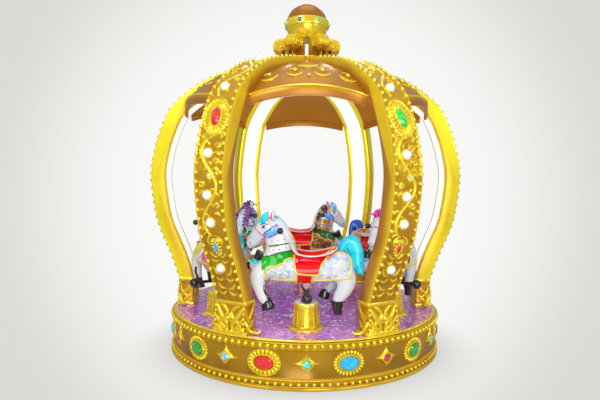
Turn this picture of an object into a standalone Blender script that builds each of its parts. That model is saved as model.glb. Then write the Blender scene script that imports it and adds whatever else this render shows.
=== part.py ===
# Crown carousel: a low round drum, a turning deck under a crown of six ribs,
# and six horses that rise and fall on posts.
# Metres, +Z up, the ground at z = 0 and the turning axis on Z.
# Azimuths are in degrees from the front (-Y) towards the right (+X).
import math
from functools import partial
from math import asin, cos, degrees, radians, sin

import bmesh
import bpy
from mathutils import Matrix, Vector

FIT_GAP = 0.0003            # between pieces that touch

# Drum and deck
# Radius and height of the drum's side: plinth, lower moulding, wall and upper moulding
DRUM_SIDE = ((1.200, 0.0), (1.200, 0.022), (1.190, 0.027), (1.190, 0.060), (1.184, 0.074), (1.172, 0.080),
             (1.172, 0.290), (1.190, 0.297), (1.190, 0.332), (1.186, 0.337))
RIM_INNER_RADIUS = 1.160
DRUM_TOP_HEIGHT = 0.300     # the closed top under the deck
BEARING_RADIUS = 0.300
BEARING_HEIGHT = 0.310
BEARING_SIDES = 32
DECK_RADIUS = 1.150
DECK_HEIGHT = 0.350
DECK_RING_RADIUS = 1.178
DECK_RING_THICKNESS = 0.0075
DECK_RING_CHAMFER = 0.003
ROUND_SIDES = 48

# Crown ribs
RIB_COUNT = 6
RIB_FIRST_AZIMUTH = 30.0
RIB_HALF_WIDTH = 0.130
RIB_DEPTH = 0.120
RIB_EDGE_CHAMFER = 0.012
RIB_STATIONS = 22
# Radius and height of the rib's outer face, from the deck to the cap
RIB_OUTLINE = ((1.122, 0.3503), (1.126, 0.560), (1.192, 0.780), (1.312, 1.070), (1.362, 1.320),
               (1.378, 1.540), (1.345, 1.740), (1.287, 1.930), (1.200, 2.110), (1.060, 2.245),
               (0.850, 2.378), (0.600, 2.462), (0.2703, 2.530))
# The bead rows on the edges as plain rails: their height, crest and inner foot
RAIL_HEIGHT = 0.015
RAIL_CREST = 0.112
RAIL_FOOT = 0.094
RAIL_LOWEST = 0.590         # the rails start over the foot cover
# Stones and vine on the outer face, placed by (sideways, distance along the rib from the deck)
RELIEF_ROOT = -0.004        # how deep they reach into the rib
PEARL_PLACES = ((-0.012, 0.509), (-0.006, 0.868), (-0.012, 1.062), (-0.012, 1.352), (-0.010, 1.872),
                (0.0, 2.360))
OVAL_PLACE = (0.0, 1.620)
MARQUISE_PLACE = (0.0, 0.682)
# Half width, half length and height of each ring of a stone
PEARL_RINGS = ((0.037, 0.037, RELIEF_ROOT), (0.022, 0.022, 0.032))
OVAL_RINGS = ((0.107, 0.145, RELIEF_ROOT), (0.100, 0.136, 0.012), (0.044, 0.077, 0.009), (0.030, 0.056, 0.022))
MARQUISE_RINGS = ((0.040, 0.070, RELIEF_ROOT), (0.026, 0.052, 0.008), (0.010, 0.026, 0.016))
STONE_SIDES = 6
OVAL_SIDES = 10
VINE_HALF_WIDTH = 0.013
VINE_HEIGHT = 0.012
VINES = (((-0.012, 0.780), (-0.070, 0.880), (-0.015, 0.970), (0.058, 1.050), (0.058, 1.180), (-0.018, 1.255),
          (-0.076, 1.340), (-0.070, 1.420)),
         ((0.050, 1.820), (0.062, 1.930), (-0.010, 2.020), (-0.066, 2.110), (-0.010, 2.230), (0.066, 2.350),
          (0.010, 2.470), (-0.064, 2.590), (-0.020, 2.700)))
STRIP_HALF_WIDTH = 0.075
STRIP_THICKNESS = 0.008
STRIP_LOWEST = 0.610
STRIP_INNERMOST = 0.400

# Foot covers of the ribs: height over the deck, inner radius, outer radius, half width
FOOT_SECTIONS = ((0.0, 0.998, 1.146, 0.150), (0.018, 1.000, 1.144, 0.148), (0.028, 1.008, 1.128, 0.138),
                 (0.110, 1.004, 1.138, 0.139), (0.205, 1.010, 1.124, 0.136), (0.225, 1.002, 1.136, 0.143),
                 (0.240, 1.006, 1.130, 0.139))

# Roof panels between the ribs
# Radius and height of the panel's middle line, from the lip's foot to the cap
PANEL_OUTLINE = ((1.082, 2.080), (1.085, 2.150), (0.960, 2.268), (0.820, 2.350), (0.590, 2.430),
                 (0.3135, 2.490))
PANEL_THICKNESS = 0.030
PANEL_ARCH = 0.060          # how far its lower corners hang under its middle
PANEL_COLUMNS = 6
# Crescents on the panel, each through (sideways, radius)
CRESCENTS = (((-0.350, 0.962), (-0.290, 0.925), (-0.230, 0.962)),
             ((-0.156, 0.962), (-0.100, 0.928), (-0.044, 0.962)),
             ((0.044, 0.962), (0.100, 0.928), (0.156, 0.962)),
             ((0.230, 0.962), (0.290, 0.925), (0.350, 0.962)))
CRESCENT_HALF_WIDTH = 0.010
CRESCENT_HEIGHT = 0.012
CRESCENT_ROOT = -0.010

# Crown cap, scrolls and ball
CAP_APOTHEM = 0.270
CAP_BOTTOM = 2.410
CAP_SEAT = 2.5303
CAP_TOP = 2.546
CAP_OVERLAP = 0.005         # how far the plug runs up into the flange
CAP_FLANGE_RADIUS = 0.310
CAP_FLANGE_CHAMFER = (0.012, 0.006)
CAP_SIDES = 36
SCROLL_WIDTH = 0.100
SCROLL_INNER_RADIUS = 0.120
SCROLL_ROLL_RADIUS = 0.0675
SCROLL_ROLL_CENTRE = (0.235, 2.6805)
SCROLL_HEEL = (0.010, 0.022)        # the heel's set-back from the toe, and its height
SCROLL_HOLLOW_RADIUS = 0.045
SCROLL_HOLLOW_CENTRE = (0.230, 0.062)   # radius, and height over the cap
SCROLL_BASE_TOE = 0.015     # how far the base ring reaches past the scrolls' toes
SCROLL_BASE_LAP = 0.004     # how far it reaches inside their inner faces
SCROLL_BASE_THICKNESS = 0.012
BALL_RADIUS = 0.187
BALL_CENTRE_HEIGHT = 2.882
BALL_SIDES = 24
BAND_HALF_HEIGHT = 0.034
BAND_FLAT_HALF_HEIGHT = 0.020
BAND_CHAMFER = 0.005
BAND_RADIUS = 0.200

# Pedestals, posts and bars
HORSE_COUNT = 6
HORSE_CIRCLE_RADIUS = 0.840
# Radius and height over the deck of a pedestal's side: flange, bucket and rim band
PEDESTAL_SIDE = ((0.1355, 0.0), (0.1355, 0.008), (0.106, 0.020), (0.0925, 0.166), (0.097, 0.172),
                 (0.097, 0.194), (0.091, 0.200))
# Radius and height over the pedestal of the boot's side
BOOT_SIDE = ((0.042, 0.0), (0.040, 0.014), (0.030, 0.042), (0.027, 0.055))
TURNED_SIDES = 16
POST_RADIUS = 0.020
GUIDE_CLEARANCE = 0.0005
GUIDE_SUMP = 0.005          # room in the pedestal's bore below the lowered post
POST_BOTTOM = 0.405
POST_TOP = 0.780
FOOT_BAR_HEIGHT = 0.625
FOOT_BAR_RADIUS = 0.013
FOOT_BAR_HALF_LENGTH = 0.220
FOOT_KNOB_RADIUS = 0.039
HANDLE_FORWARD = 0.200
HANDLE_HEIGHT = 1.105
HANDLE_RADIUS = 0.012
HANDLE_HALF_LENGTH = 0.140
HANDLE_KNOB_RADIUS = 0.024

# Horse: each tube runs through (forward, outward, height, half breadth, half thickness)
TORSO = ((-0.350, 0, 0.870, 0.045, 0.055), (-0.300, 0, 0.862, 0.105, 0.118), (-0.200, 0, 0.846, 0.125, 0.137),
         (-0.050, 0, 0.824, 0.120, 0.126), (0.100, 0, 0.828, 0.120, 0.130), (0.220, 0, 0.850, 0.115, 0.142),
         (0.300, 0, 0.872, 0.085, 0.110), (0.335, 0, 0.885, 0.030, 0.050))
NECK = ((0.170, 0, 0.860, 0.075, 0.110), (0.205, 0, 0.960, 0.076, 0.112), (0.212, 0, 1.050, 0.066, 0.100),
        (0.240, 0, 1.130, 0.056, 0.080), (0.280, 0, 1.175, 0.040, 0.045))
HEAD = ((0.225, 0, 1.165, 0.035, 0.035), (0.280, 0, 1.142, 0.058, 0.066), (0.340, 0, 1.095, 0.058, 0.074),
        (0.395, 0, 1.030, 0.045, 0.056), (0.422, 0, 0.985, 0.040, 0.042), (0.432, 0, 0.965, 0.022, 0.024))
NEAR_FORELEG = ((0.240, 0.055, 0.850, 0.052, 0.075), (0.340, 0.070, 0.762, 0.046, 0.060),
                (0.338, 0.075, 0.670, 0.042, 0.052), (0.305, 0.075, 0.600, 0.032, 0.036),
                (0.285, 0.075, 0.562, 0.040, 0.042), (0.272, 0.075, 0.515, 0.044, 0.048))
FAR_FORELEG = ((0.240, -0.055, 0.840, 0.050, 0.065), (0.385, -0.070, 0.805, 0.042, 0.045),
               (0.412, -0.072, 0.830, 0.036, 0.036), (0.380, -0.072, 0.862, 0.030, 0.030),
               (0.350, -0.072, 0.905, 0.036, 0.036))
NEAR_HINDLEG = ((-0.220, 0.050, 0.850, 0.060, 0.110), (-0.292, 0.068, 0.745, 0.054, 0.082),
                (-0.268, 0.074, 0.665, 0.044, 0.060), (-0.238, 0.076, 0.602, 0.034, 0.042),
                (-0.228, 0.076, 0.555, 0.042, 0.046), (-0.218, 0.076, 0.480, 0.030, 0.026))
FAR_HINDLEG = ((-0.200, -0.050, 0.820, 0.058, 0.095), (-0.222, -0.066, 0.710, 0.048, 0.062),
               (-0.180, -0.072, 0.650, 0.034, 0.036), (-0.150, -0.072, 0.620, 0.038, 0.040),
               (-0.118, -0.072, 0.592, 0.034, 0.034))
TAIL = ((-0.285, 0, 0.940, 0.020, 0.026), (-0.330, 0, 1.015, 0.030, 0.038), (-0.382, 0, 0.990, 0.036, 0.044),
        (-0.402, 0, 0.890, 0.034, 0.040), (-0.425, 0, 0.770, 0.016, 0.018))
SADDLE = ((0.130, 0, 0.955, 0.060, 0.050), (0.098, 0, 0.906, 0.130, 0.095), (0.000, 0, 0.852, 0.143, 0.080),
          (-0.080, 0, 0.854, 0.143, 0.080), (-0.165, 0, 0.896, 0.136, 0.075), (-0.228, 0, 0.928, 0.070, 0.045))
EAR_LENGTH = 0.075
EAR_RADIUS = 0.022
EAR_TIP_RADIUS = 0.004
EAR_LEAN = 14.0
EAR_SPREAD = 0.034
EAR_ROOT = (0.268, 1.178)
POST_HOLE_BOTTOM = 0.5      # anywhere below the belly
HANDLE_HOLE_REACH = 0.2     # anywhere past the neck's sides


def clear_scene():
    for item in list(bpy.data.objects):
        bpy.data.objects.remove(item, do_unlink=True)


def make_material(name, colour, roughness, metallic):
    material = bpy.data.materials.new(name)
    material.use_nodes = True
    shader = material.node_tree.nodes["Principled BSDF"]
    shader.inputs["Base Color"].default_value = (*colour, 1.0)
    shader.inputs["Roughness"].default_value = roughness
    shader.inputs["Metallic"].default_value = metallic
    return material


def finish_mesh(name, build_mesh, material, sharp_angle=35.0):
    """A mesh from a bmesh, with its faces turned outwards and shaded smooth up to sharp_angle."""
    bmesh.ops.recalc_face_normals(build_mesh, faces=build_mesh.faces)
    mesh = bpy.data.meshes.new(name)
    build_mesh.to_mesh(mesh)
    build_mesh.free()
    mesh.shade_smooth()
    mesh.set_sharp_from_angle(angle=radians(sharp_angle))
    mesh.materials.append(material)
    return mesh


def place(name, mesh, parent=None, azimuth=0.0, location=(0.0, 0.0, 0.0)):
    piece = bpy.data.objects.new(name, mesh)
    bpy.context.collection.objects.link(piece)
    piece.parent = parent
    piece.location = location
    piece.rotation_euler = (0.0, 0.0, radians(azimuth))
    return piece


def loft_mesh(rings):
    """A closed skin over rings of equal length, with a face on each end."""
    build_mesh = bmesh.new()
    rows = [[build_mesh.verts.new(point) for point in ring] for ring in rings]
    count = len(rings[0])
    for lower, upper in zip(rows, rows[1:]):
        for index in range(count):
            following = (index + 1) % count
            build_mesh.faces.new((lower[index], lower[following], upper[following], upper[index]))
    build_mesh.faces.new(rows[0])
    build_mesh.faces.new(rows[-1])
    return build_mesh


def lathe_mesh(profile, sides, closed=False, height=0.0):
    """The (radius, height) profile turned about Z. A radius of 0 becomes a single point."""
    build_mesh = bmesh.new()
    rows = []
    for radius, level in profile:
        if radius == 0:
            rows.append([build_mesh.verts.new((0, 0, level + height))] * sides)
            continue
        turns = [2 * math.pi * step / sides for step in range(sides)]
        rows.append([build_mesh.verts.new((radius * sin(turn), -radius * cos(turn), level + height))
                     for turn in turns])
    pairs = list(zip(rows, rows[1:]))
    if closed:
        pairs.append((rows[-1], rows[0]))
    for lower, upper in pairs:
        for index in range(sides):
            following = (index + 1) % sides
            corners = (lower[index], lower[following], upper[following], upper[index])
            build_mesh.faces.new(list(dict.fromkeys(corners)))
    return build_mesh


def arc_points(centre, radius, start, end, steps):
    """Points (r, z) on an arc, its angles in degrees from +r towards +z."""
    turns = [radians(start + (end - start) * step / steps) for step in range(steps + 1)]
    return [(centre[0] + radius * cos(turn), centre[1] + radius * sin(turn)) for turn in turns]


def smooth_curve(points, count):
    """Count + 1 points evenly spaced along the smooth curve through the given points."""
    nodes = [Vector(point) for point in points]
    nodes = [2 * nodes[0] - nodes[1]] + nodes + [2 * nodes[-1] - nodes[-2]]
    fine = []
    for before, start, end, after in zip(nodes, nodes[1:], nodes[2:], nodes[3:]):
        for step in range(12):
            part = step / 12
            fine.append(0.5 * (2 * start + (end - before) * part
                               + (2 * before - 5 * start + 4 * end - after) * part ** 2
                               + (3 * start - before - 3 * end + after) * part ** 3))
    fine.append(nodes[-2])
    lengths = [0.0]
    for start, end in zip(fine, fine[1:]):
        lengths.append(lengths[-1] + (end - start).length)
    result = []
    segment = 0
    for step in range(count + 1):
        target = lengths[-1] * step / count
        while segment < len(fine) - 2 and lengths[segment + 1] < target:
            segment += 1
        part = (target - lengths[segment]) / (lengths[segment + 1] - lengths[segment])
        result.append(fine[segment].lerp(fine[segment + 1], min(part, 1.0)))
    return result


def join_solids(name, parts, material, cuts=(), sharp_angle=35.0):
    """One mesh from overlapping closed bmeshes, less the cuts, by exact Booleans."""
    pieces = []
    for index, build_mesh in enumerate(list(parts) + list(cuts)):
        piece = bpy.data.objects.new(f"{name}_{index}", finish_mesh(name, build_mesh, material))
        bpy.context.collection.objects.link(piece)
        pieces.append(piece)
    body = pieces[0]
    for index, piece in enumerate(pieces[1:], 1):
        boolean = body.modifiers.new(f"join_{index}", "BOOLEAN")
        boolean.operation = "UNION" if index < len(parts) else "DIFFERENCE"
        boolean.object = piece
    graph = bpy.context.evaluated_depsgraph_get()
    mesh = bpy.data.meshes.new_from_object(body.evaluated_get(graph))
    mesh.name = name
    for piece in pieces:
        bpy.data.objects.remove(piece, do_unlink=True)
    tidy = bmesh.new()
    tidy.from_mesh(mesh)
    bmesh.ops.triangulate(tidy, faces=tidy.faces)
    tidy.to_mesh(mesh)
    tidy.free()
    mesh.shade_smooth()
    mesh.set_sharp_from_angle(angle=radians(sharp_angle))
    return mesh


def bar_mesh(radius, start, end, sides=8):
    """A round bar with flat ends between two points."""
    start, end = Vector(start), Vector(end)
    turn = (end - start).to_track_quat("Z", "Y").to_matrix()
    angles = [2 * math.pi * step / sides for step in range(sides)]
    offsets = [turn @ Vector((radius * cos(angle), radius * sin(angle), 0)) for angle in angles]
    return loft_mesh([[start + offset for offset in offsets], [end + offset for offset in offsets]])


def knob_mesh(radius, centre, sides=8, rows=6):
    build_mesh = bmesh.new()
    bmesh.ops.create_uvsphere(build_mesh, u_segments=sides, v_segments=rows, radius=radius,
                              matrix=Matrix.Translation(centre))
    return build_mesh


def limb_mesh(stations, sides):
    """A tube of oval sections that stand square to its path in the forward-height plane."""
    centres = [Vector((forward, outward, height)) for forward, outward, height, _, _ in stations]
    rings = []
    for index, (_, _, _, breadth, thickness) in enumerate(stations):
        along = (centres[min(index + 1, len(centres) - 1)] - centres[max(index - 1, 0)]).normalized()
        across = Vector((0, 1, 0))
        upward = along.cross(across).normalized()
        ring = []
        for step in range(sides):
            turn = 2 * math.pi * (step + 0.5) / sides
            ring.append(centres[index] + across * breadth * cos(turn) + upward * thickness * sin(turn))
        rings.append(ring)
    return loft_mesh(rings)


def make_drum(gold, steel):
    """The fixed base: a closed round housing with a moulded wall, and the bearing on its top."""
    rim_height = DRUM_SIDE[-1][1]
    profile = [(0, 0), *DRUM_SIDE, (RIM_INNER_RADIUS, rim_height),
               (RIM_INNER_RADIUS, DRUM_TOP_HEIGHT), (0, DRUM_TOP_HEIGHT)]
    place("drum", finish_mesh("drum", lathe_mesh(profile, ROUND_SIDES), gold))
    bearing = [(0, DRUM_TOP_HEIGHT + FIT_GAP), (BEARING_RADIUS, DRUM_TOP_HEIGHT + FIT_GAP),
               (BEARING_RADIUS, BEARING_HEIGHT), (0, BEARING_HEIGHT)]
    place("slew_bearing", finish_mesh("slew_bearing", lathe_mesh(bearing, BEARING_SIDES), steel))


def make_deck(turntable, deck_pink, gold):
    deck = [(0, BEARING_HEIGHT + FIT_GAP), (DECK_RADIUS, BEARING_HEIGHT + FIT_GAP),
            (DECK_RADIUS, DECK_HEIGHT), (0, DECK_HEIGHT)]
    place("deck", finish_mesh("deck", lathe_mesh(deck, ROUND_SIDES), deck_pink), turntable)
    inner = DECK_RADIUS + FIT_GAP
    low = DECK_HEIGHT - DECK_RING_THICKNESS
    ring = [(inner, low), (DECK_RING_RADIUS, low), (DECK_RING_RADIUS, DECK_HEIGHT - DECK_RING_CHAMFER),
            (DECK_RING_RADIUS - DECK_RING_CHAMFER, DECK_HEIGHT), (inner, DECK_HEIGHT)]
    place("deck_edge_ring", finish_mesh("deck_edge_ring", lathe_mesh(ring, ROUND_SIDES, closed=True), gold),
          turntable)


def rib_frames():
    """Outer point and inward direction, as (radius, height), at each station of a rib."""
    points = smooth_curve(RIB_OUTLINE, RIB_STATIONS)
    frames = []
    for index, point in enumerate(points):
        along = (points[min(index + 1, RIB_STATIONS)] - points[max(index - 1, 0)]).normalized()
        inward = Vector((-along.y, along.x))
        if index == 0:
            inward = Vector((-1.0, 0.0))
        if index == RIB_STATIONS:
            inward = Vector((0.0, -1.0))
        frames.append((point, inward))
    return frames


def rib_ring(point, inward, corners):
    """Corners given as (sideways, depth) from the rib's outer face, as points in space."""
    ring = []
    for sideways, depth in corners:
        spot = point + inward * depth
        ring.append(Vector((sideways, -spot.x, spot.y)))
    return ring


def rib_corners(rail):
    """The rib's section from its left edge to its right one and back, with rails of the given height."""
    left = ((-RIB_HALF_WIDTH, RIB_EDGE_CHAMFER), (-RAIL_CREST, -rail), (-RAIL_FOOT, 0))
    right = tuple((-sideways, depth) for sideways, depth in reversed(left))
    return left + right + ((RIB_HALF_WIDTH, RIB_DEPTH), (-RIB_HALF_WIDTH, RIB_DEPTH))


def rib_spot(frames, sideways, along, height):
    """A point over the outer face of the rib, whose stations are evenly spaced along it."""
    length = sum((end[0] - start[0]).length for start, end in zip(frames, frames[1:]))
    station = min(along / length * RIB_STATIONS, RIB_STATIONS - 0.001)
    before, part = int(station), station % 1.0
    point = frames[before][0].lerp(frames[before + 1][0], part)
    inward = frames[before][1].lerp(frames[before + 1][1], part)
    spot = point - inward * height
    return Vector((sideways, -spot.x, spot.y))


def stone_mesh(frames, stone_place, rings, sides):
    """A low oval dome on the rib's outer face."""
    sideways, along = stone_place
    turns = [2 * math.pi * (step + 0.5) / sides for step in range(sides)]
    rows = []
    for half_width, half_length, height in rings:
        rows.append([rib_spot(frames, sideways + half_width * cos(turn), along + half_length * sin(turn), height)
                     for turn in turns])
    return loft_mesh(rows)


def ridge_mesh(points, half_width, spot_at, root, height):
    """A ridge of triangular section along a flat path that spot_at lays on a face."""
    path = [Vector(point) for point in points]
    rings = []
    for index, point in enumerate(path):
        along = (path[min(index + 1, len(path) - 1)] - path[max(index - 1, 0)]).normalized()
        aside = Vector((along.y, -along.x)) * half_width
        rings.append([spot_at(*(point - aside), root), spot_at(*point, height), spot_at(*(point + aside), root)])
    return loft_mesh(rings)


def make_ribs(turntable, gold, light):
    frames = rib_frames()
    rib_rings = []
    for point, inward in frames:
        railed = point.y > RAIL_LOWEST and point.x > CAP_FLANGE_RADIUS
        rib_rings.append(rib_ring(point, inward, rib_corners(RAIL_HEIGHT if railed else 0.0)))
    rib = loft_mesh(rib_rings)
    foot_rings = []
    for height, inner, outer, half_width in FOOT_SECTIONS:
        level = DECK_HEIGHT + FIT_GAP + height
        foot_rings.append([Vector((-half_width, -inner, level)), Vector((-half_width, -outer, level)),
                           Vector((half_width, -outer, level)), Vector((half_width, -inner, level))])
    relief = [stone_mesh(frames, spot, PEARL_RINGS, STONE_SIDES) for spot in PEARL_PLACES]
    relief += [stone_mesh(frames, OVAL_PLACE, OVAL_RINGS, OVAL_SIDES),
               stone_mesh(frames, MARQUISE_PLACE, MARQUISE_RINGS, STONE_SIDES)]
    on_rib = partial(rib_spot, frames)
    relief += [ridge_mesh(vine, VINE_HALF_WIDTH, on_rib, RELIEF_ROOT, VINE_HEIGHT) for vine in VINES]
    rib_mesh = join_solids("rib", [rib, loft_mesh(foot_rings)] + relief, gold)

    near = RIB_DEPTH + FIT_GAP
    far = near + STRIP_THICKNESS
    strip_corners = ((-STRIP_HALF_WIDTH, near), (STRIP_HALF_WIDTH, near),
                     (STRIP_HALF_WIDTH, far), (-STRIP_HALF_WIDTH, far))
    strip_rings = []
    for point, inward in frames:
        if point.y > STRIP_LOWEST and point.x > STRIP_INNERMOST:
            strip_rings.append(rib_ring(point, inward, strip_corners))
    strip_mesh = finish_mesh("rib_light_strip", loft_mesh(strip_rings), light)
    for index in range(RIB_COUNT):
        azimuth = RIB_FIRST_AZIMUTH + index * 360.0 / RIB_COUNT
        place(f"rib_{index + 1}", rib_mesh, turntable, azimuth)
        place(f"rib_light_strip_{index + 1}", strip_mesh, turntable, azimuth)


def panel_row(radius, height, drop):
    """Points across a roof panel at one radius, between the side faces of its two ribs."""
    half_angle = 180.0 / RIB_COUNT - degrees(asin((RIB_HALF_WIDTH + FIT_GAP) / radius))
    row = []
    for column in range(PANEL_COLUMNS + 1):
        across = 2.0 * column / PANEL_COLUMNS - 1.0
        turn = radians(across * half_angle)
        row.append(Vector((radius * sin(turn), -radius * cos(turn), height - drop * across ** 2)))
    return row


def panel_spot(sideways, radius, height):
    """A point over a roof panel's top face."""
    outline = sorted(PANEL_OUTLINE[1:])
    for (inner, high), (outer, low) in zip(outline, outline[1:]):
        if inner <= radius <= outer:
            level = high + (low - high) * (radius - inner) / (outer - inner)
    half_angle = 180.0 / RIB_COUNT - degrees(asin((RIB_HALF_WIDTH + FIT_GAP) / radius))
    across = degrees(asin(sideways / radius)) / half_angle
    drop = PANEL_ARCH * (radius - outline[0][0]) / (outline[-1][0] - outline[0][0])
    turn = asin(sideways / radius)
    return Vector((sideways, -radius * cos(turn), level - drop * across ** 2 + height))


def make_roof(turntable, bronze):
    lip, *top = [Vector(point) for point in PANEL_OUTLINE]
    rows = []
    span = top[0].x - top[-1].x

    def drop_at(radius):
        return PANEL_ARCH * max(0.0, (radius - top[-1].x) / span)

    for point in [lip] + top:
        rows.append(panel_row(point.x, point.y, drop_at(point.x)))
    for point in reversed(top[1:]):
        rows.append(panel_row(point.x, point.y - PANEL_THICKNESS, drop_at(point.x)))
    inside = top[0].x - PANEL_THICKNESS
    rows.append(panel_row(inside, top[0].y - PANEL_THICKNESS, drop_at(inside)))
    rows.append(panel_row(inside, lip.y, drop_at(inside)))

    build_mesh = bmesh.new()
    grid = [[build_mesh.verts.new(point) for point in row] for row in rows]
    for row, following in zip(grid, grid[1:] + grid[:1]):
        for column in range(PANEL_COLUMNS):
            build_mesh.faces.new((row[column], row[column + 1], following[column + 1], following[column]))
    # The side faces are closed by strips between the top's and the underside's matching rows.
    count = len(rows)
    for column in (0, PANEL_COLUMNS):
        for index in range(count // 2 - 1):
            build_mesh.faces.new((grid[index][column], grid[index + 1][column],
                                  grid[count - 2 - index][column], grid[count - 1 - index][column]))
    relief = [ridge_mesh(path, CRESCENT_HALF_WIDTH, panel_spot, CRESCENT_ROOT, CRESCENT_HEIGHT)
              for path in CRESCENTS]
    panel_mesh = join_solids("roof_panel", [build_mesh] + relief, bronze, sharp_angle=40.0)
    for index in range(RIB_COUNT):
        place(f"roof_panel_{index + 1}", panel_mesh, turntable, index * 360.0 / RIB_COUNT)


def make_crown_top(turntable, gold, bronze, rim_gold):
    """The cap over the ribs' ends, the six scrolls on it, and the ball with its band."""
    corner_radius = CAP_APOTHEM / cos(math.pi / RIB_COUNT)
    plug_top = CAP_SEAT + CAP_OVERLAP
    plug = [(0, CAP_BOTTOM), (corner_radius, CAP_BOTTOM), (corner_radius, plug_top), (0, plug_top)]
    chamfer_in, chamfer_down = CAP_FLANGE_CHAMFER
    flange = [(0, CAP_SEAT), (CAP_FLANGE_RADIUS, CAP_SEAT), (CAP_FLANGE_RADIUS, CAP_TOP - chamfer_down),
              (CAP_FLANGE_RADIUS - chamfer_in, CAP_TOP), (0, CAP_TOP)]
    cap_mesh = join_solids("crown_cap", [lathe_mesh(plug, RIB_COUNT), lathe_mesh(flange, CAP_SIDES)], gold)
    place("crown_cap", cap_mesh, turntable)

    foot = CAP_TOP + FIT_GAP
    roll_r, roll_z = SCROLL_ROLL_CENTRE
    set_back, heel_height = SCROLL_HEEL
    hollow_r, hollow_height = SCROLL_HOLLOW_CENTRE
    outline = [(SCROLL_INNER_RADIUS, foot), (roll_r, foot), (roll_r - set_back, foot + heel_height)]
    outline += arc_points((hollow_r, foot + hollow_height), SCROLL_HOLLOW_RADIUS, 260, 190, 3)
    outline += arc_points(SCROLL_ROLL_CENTRE, SCROLL_ROLL_RADIUS, 205, 450, 11)
    outline += [(SCROLL_INNER_RADIUS, roll_z + SCROLL_ROLL_RADIUS)]
    sides = []
    for sideways in (-SCROLL_WIDTH / 2, SCROLL_WIDTH / 2):
        sides.append([Vector((sideways, -radius, level)) for radius, level in outline])
    base_inner = SCROLL_INNER_RADIUS - SCROLL_BASE_LAP
    base_outer = roll_r + SCROLL_BASE_TOE
    base_top = foot + SCROLL_BASE_THICKNESS
    base = [(base_inner, foot), (base_outer, foot), (base_outer, base_top), (base_inner, base_top)]
    scrolls = [lathe_mesh(base, CAP_SIDES, closed=True)]
    for index in range(RIB_COUNT):
        turn = Matrix.Rotation(radians(RIB_FIRST_AZIMUTH + index * 360.0 / RIB_COUNT), 3, "Z")
        scrolls.append(loft_mesh([[turn @ point for point in side] for side in sides]))
    place("scroll_crown", join_solids("scroll_crown", scrolls, gold), turntable)

    seat = roll_z + SCROLL_ROLL_RADIUS + FIT_GAP
    start = degrees(asin((seat - BALL_CENTRE_HEIGHT) / BALL_RADIUS))
    sphere = arc_points((0, BALL_CENTRE_HEIGHT), BALL_RADIUS, start, 90, 12)
    ball = [(0, seat)] + sphere[:-1] + [(0, BALL_CENTRE_HEIGHT + BALL_RADIUS)]
    place("crown_ball", finish_mesh("crown_ball", lathe_mesh(ball, BALL_SIDES), bronze), turntable)
    inner = BALL_RADIUS + FIT_GAP
    edge = BAND_RADIUS - BAND_CHAMFER
    band = [(inner, -BAND_HALF_HEIGHT), (edge, -BAND_HALF_HEIGHT), (BAND_RADIUS, -BAND_FLAT_HALF_HEIGHT),
            (BAND_RADIUS, BAND_FLAT_HALF_HEIGHT), (edge, BAND_HALF_HEIGHT), (inner, BAND_HALF_HEIGHT)]
    band_mesh = lathe_mesh(band, BALL_SIDES, closed=True, height=BALL_CENTRE_HEIGHT)
    place("ball_band", finish_mesh("ball_band", band_mesh, rim_gold), turntable)


def make_pedestal_meshes(gold, rubber):
    bore = POST_RADIUS + GUIDE_CLEARANCE
    sump = POST_BOTTOM - GUIDE_SUMP
    base = DECK_HEIGHT + FIT_GAP
    side = [(radius, base + height) for radius, height in PEDESTAL_SIDE]
    top = side[-1][1]
    profile = [(0, base), *side, (bore, top), (bore, sump), (0, sump)]
    pedestal = finish_mesh("pedestal", lathe_mesh(profile, TURNED_SIDES), gold)
    low = top + FIT_GAP
    sleeve = [(bore, low), *[(radius, low + height) for radius, height in BOOT_SIDE],
              (bore, low + BOOT_SIDE[-1][1])]
    boot = finish_mesh("post_boot", lathe_mesh(sleeve, TURNED_SIDES, closed=True), rubber)
    return pedestal, boot


def make_post_mesh(steel):
    profile = [(0, POST_BOTTOM), (POST_RADIUS, POST_BOTTOM), (POST_RADIUS, POST_TOP), (0, POST_TOP)]
    post = lathe_mesh(profile, TURNED_SIDES)
    reach = Vector((0, FOOT_BAR_HALF_LENGTH, 0))
    middle = Vector((0, 0, FOOT_BAR_HEIGHT))
    parts = [post, bar_mesh(FOOT_BAR_RADIUS, middle - reach, middle + reach),
             knob_mesh(FOOT_KNOB_RADIUS, middle - reach), knob_mesh(FOOT_KNOB_RADIUS, middle + reach)]
    return join_solids("post_and_foot_bar", parts, steel)


def make_handle_mesh(rubber):
    reach = Vector((0, HANDLE_HALF_LENGTH, 0))
    middle = Vector((HANDLE_FORWARD, 0, HANDLE_HEIGHT))
    parts = [bar_mesh(HANDLE_RADIUS, middle - reach, middle + reach),
             knob_mesh(HANDLE_KNOB_RADIUS, middle - reach), knob_mesh(HANDLE_KNOB_RADIUS, middle + reach)]
    return join_solids("handle_bar", parts, rubber)


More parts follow.
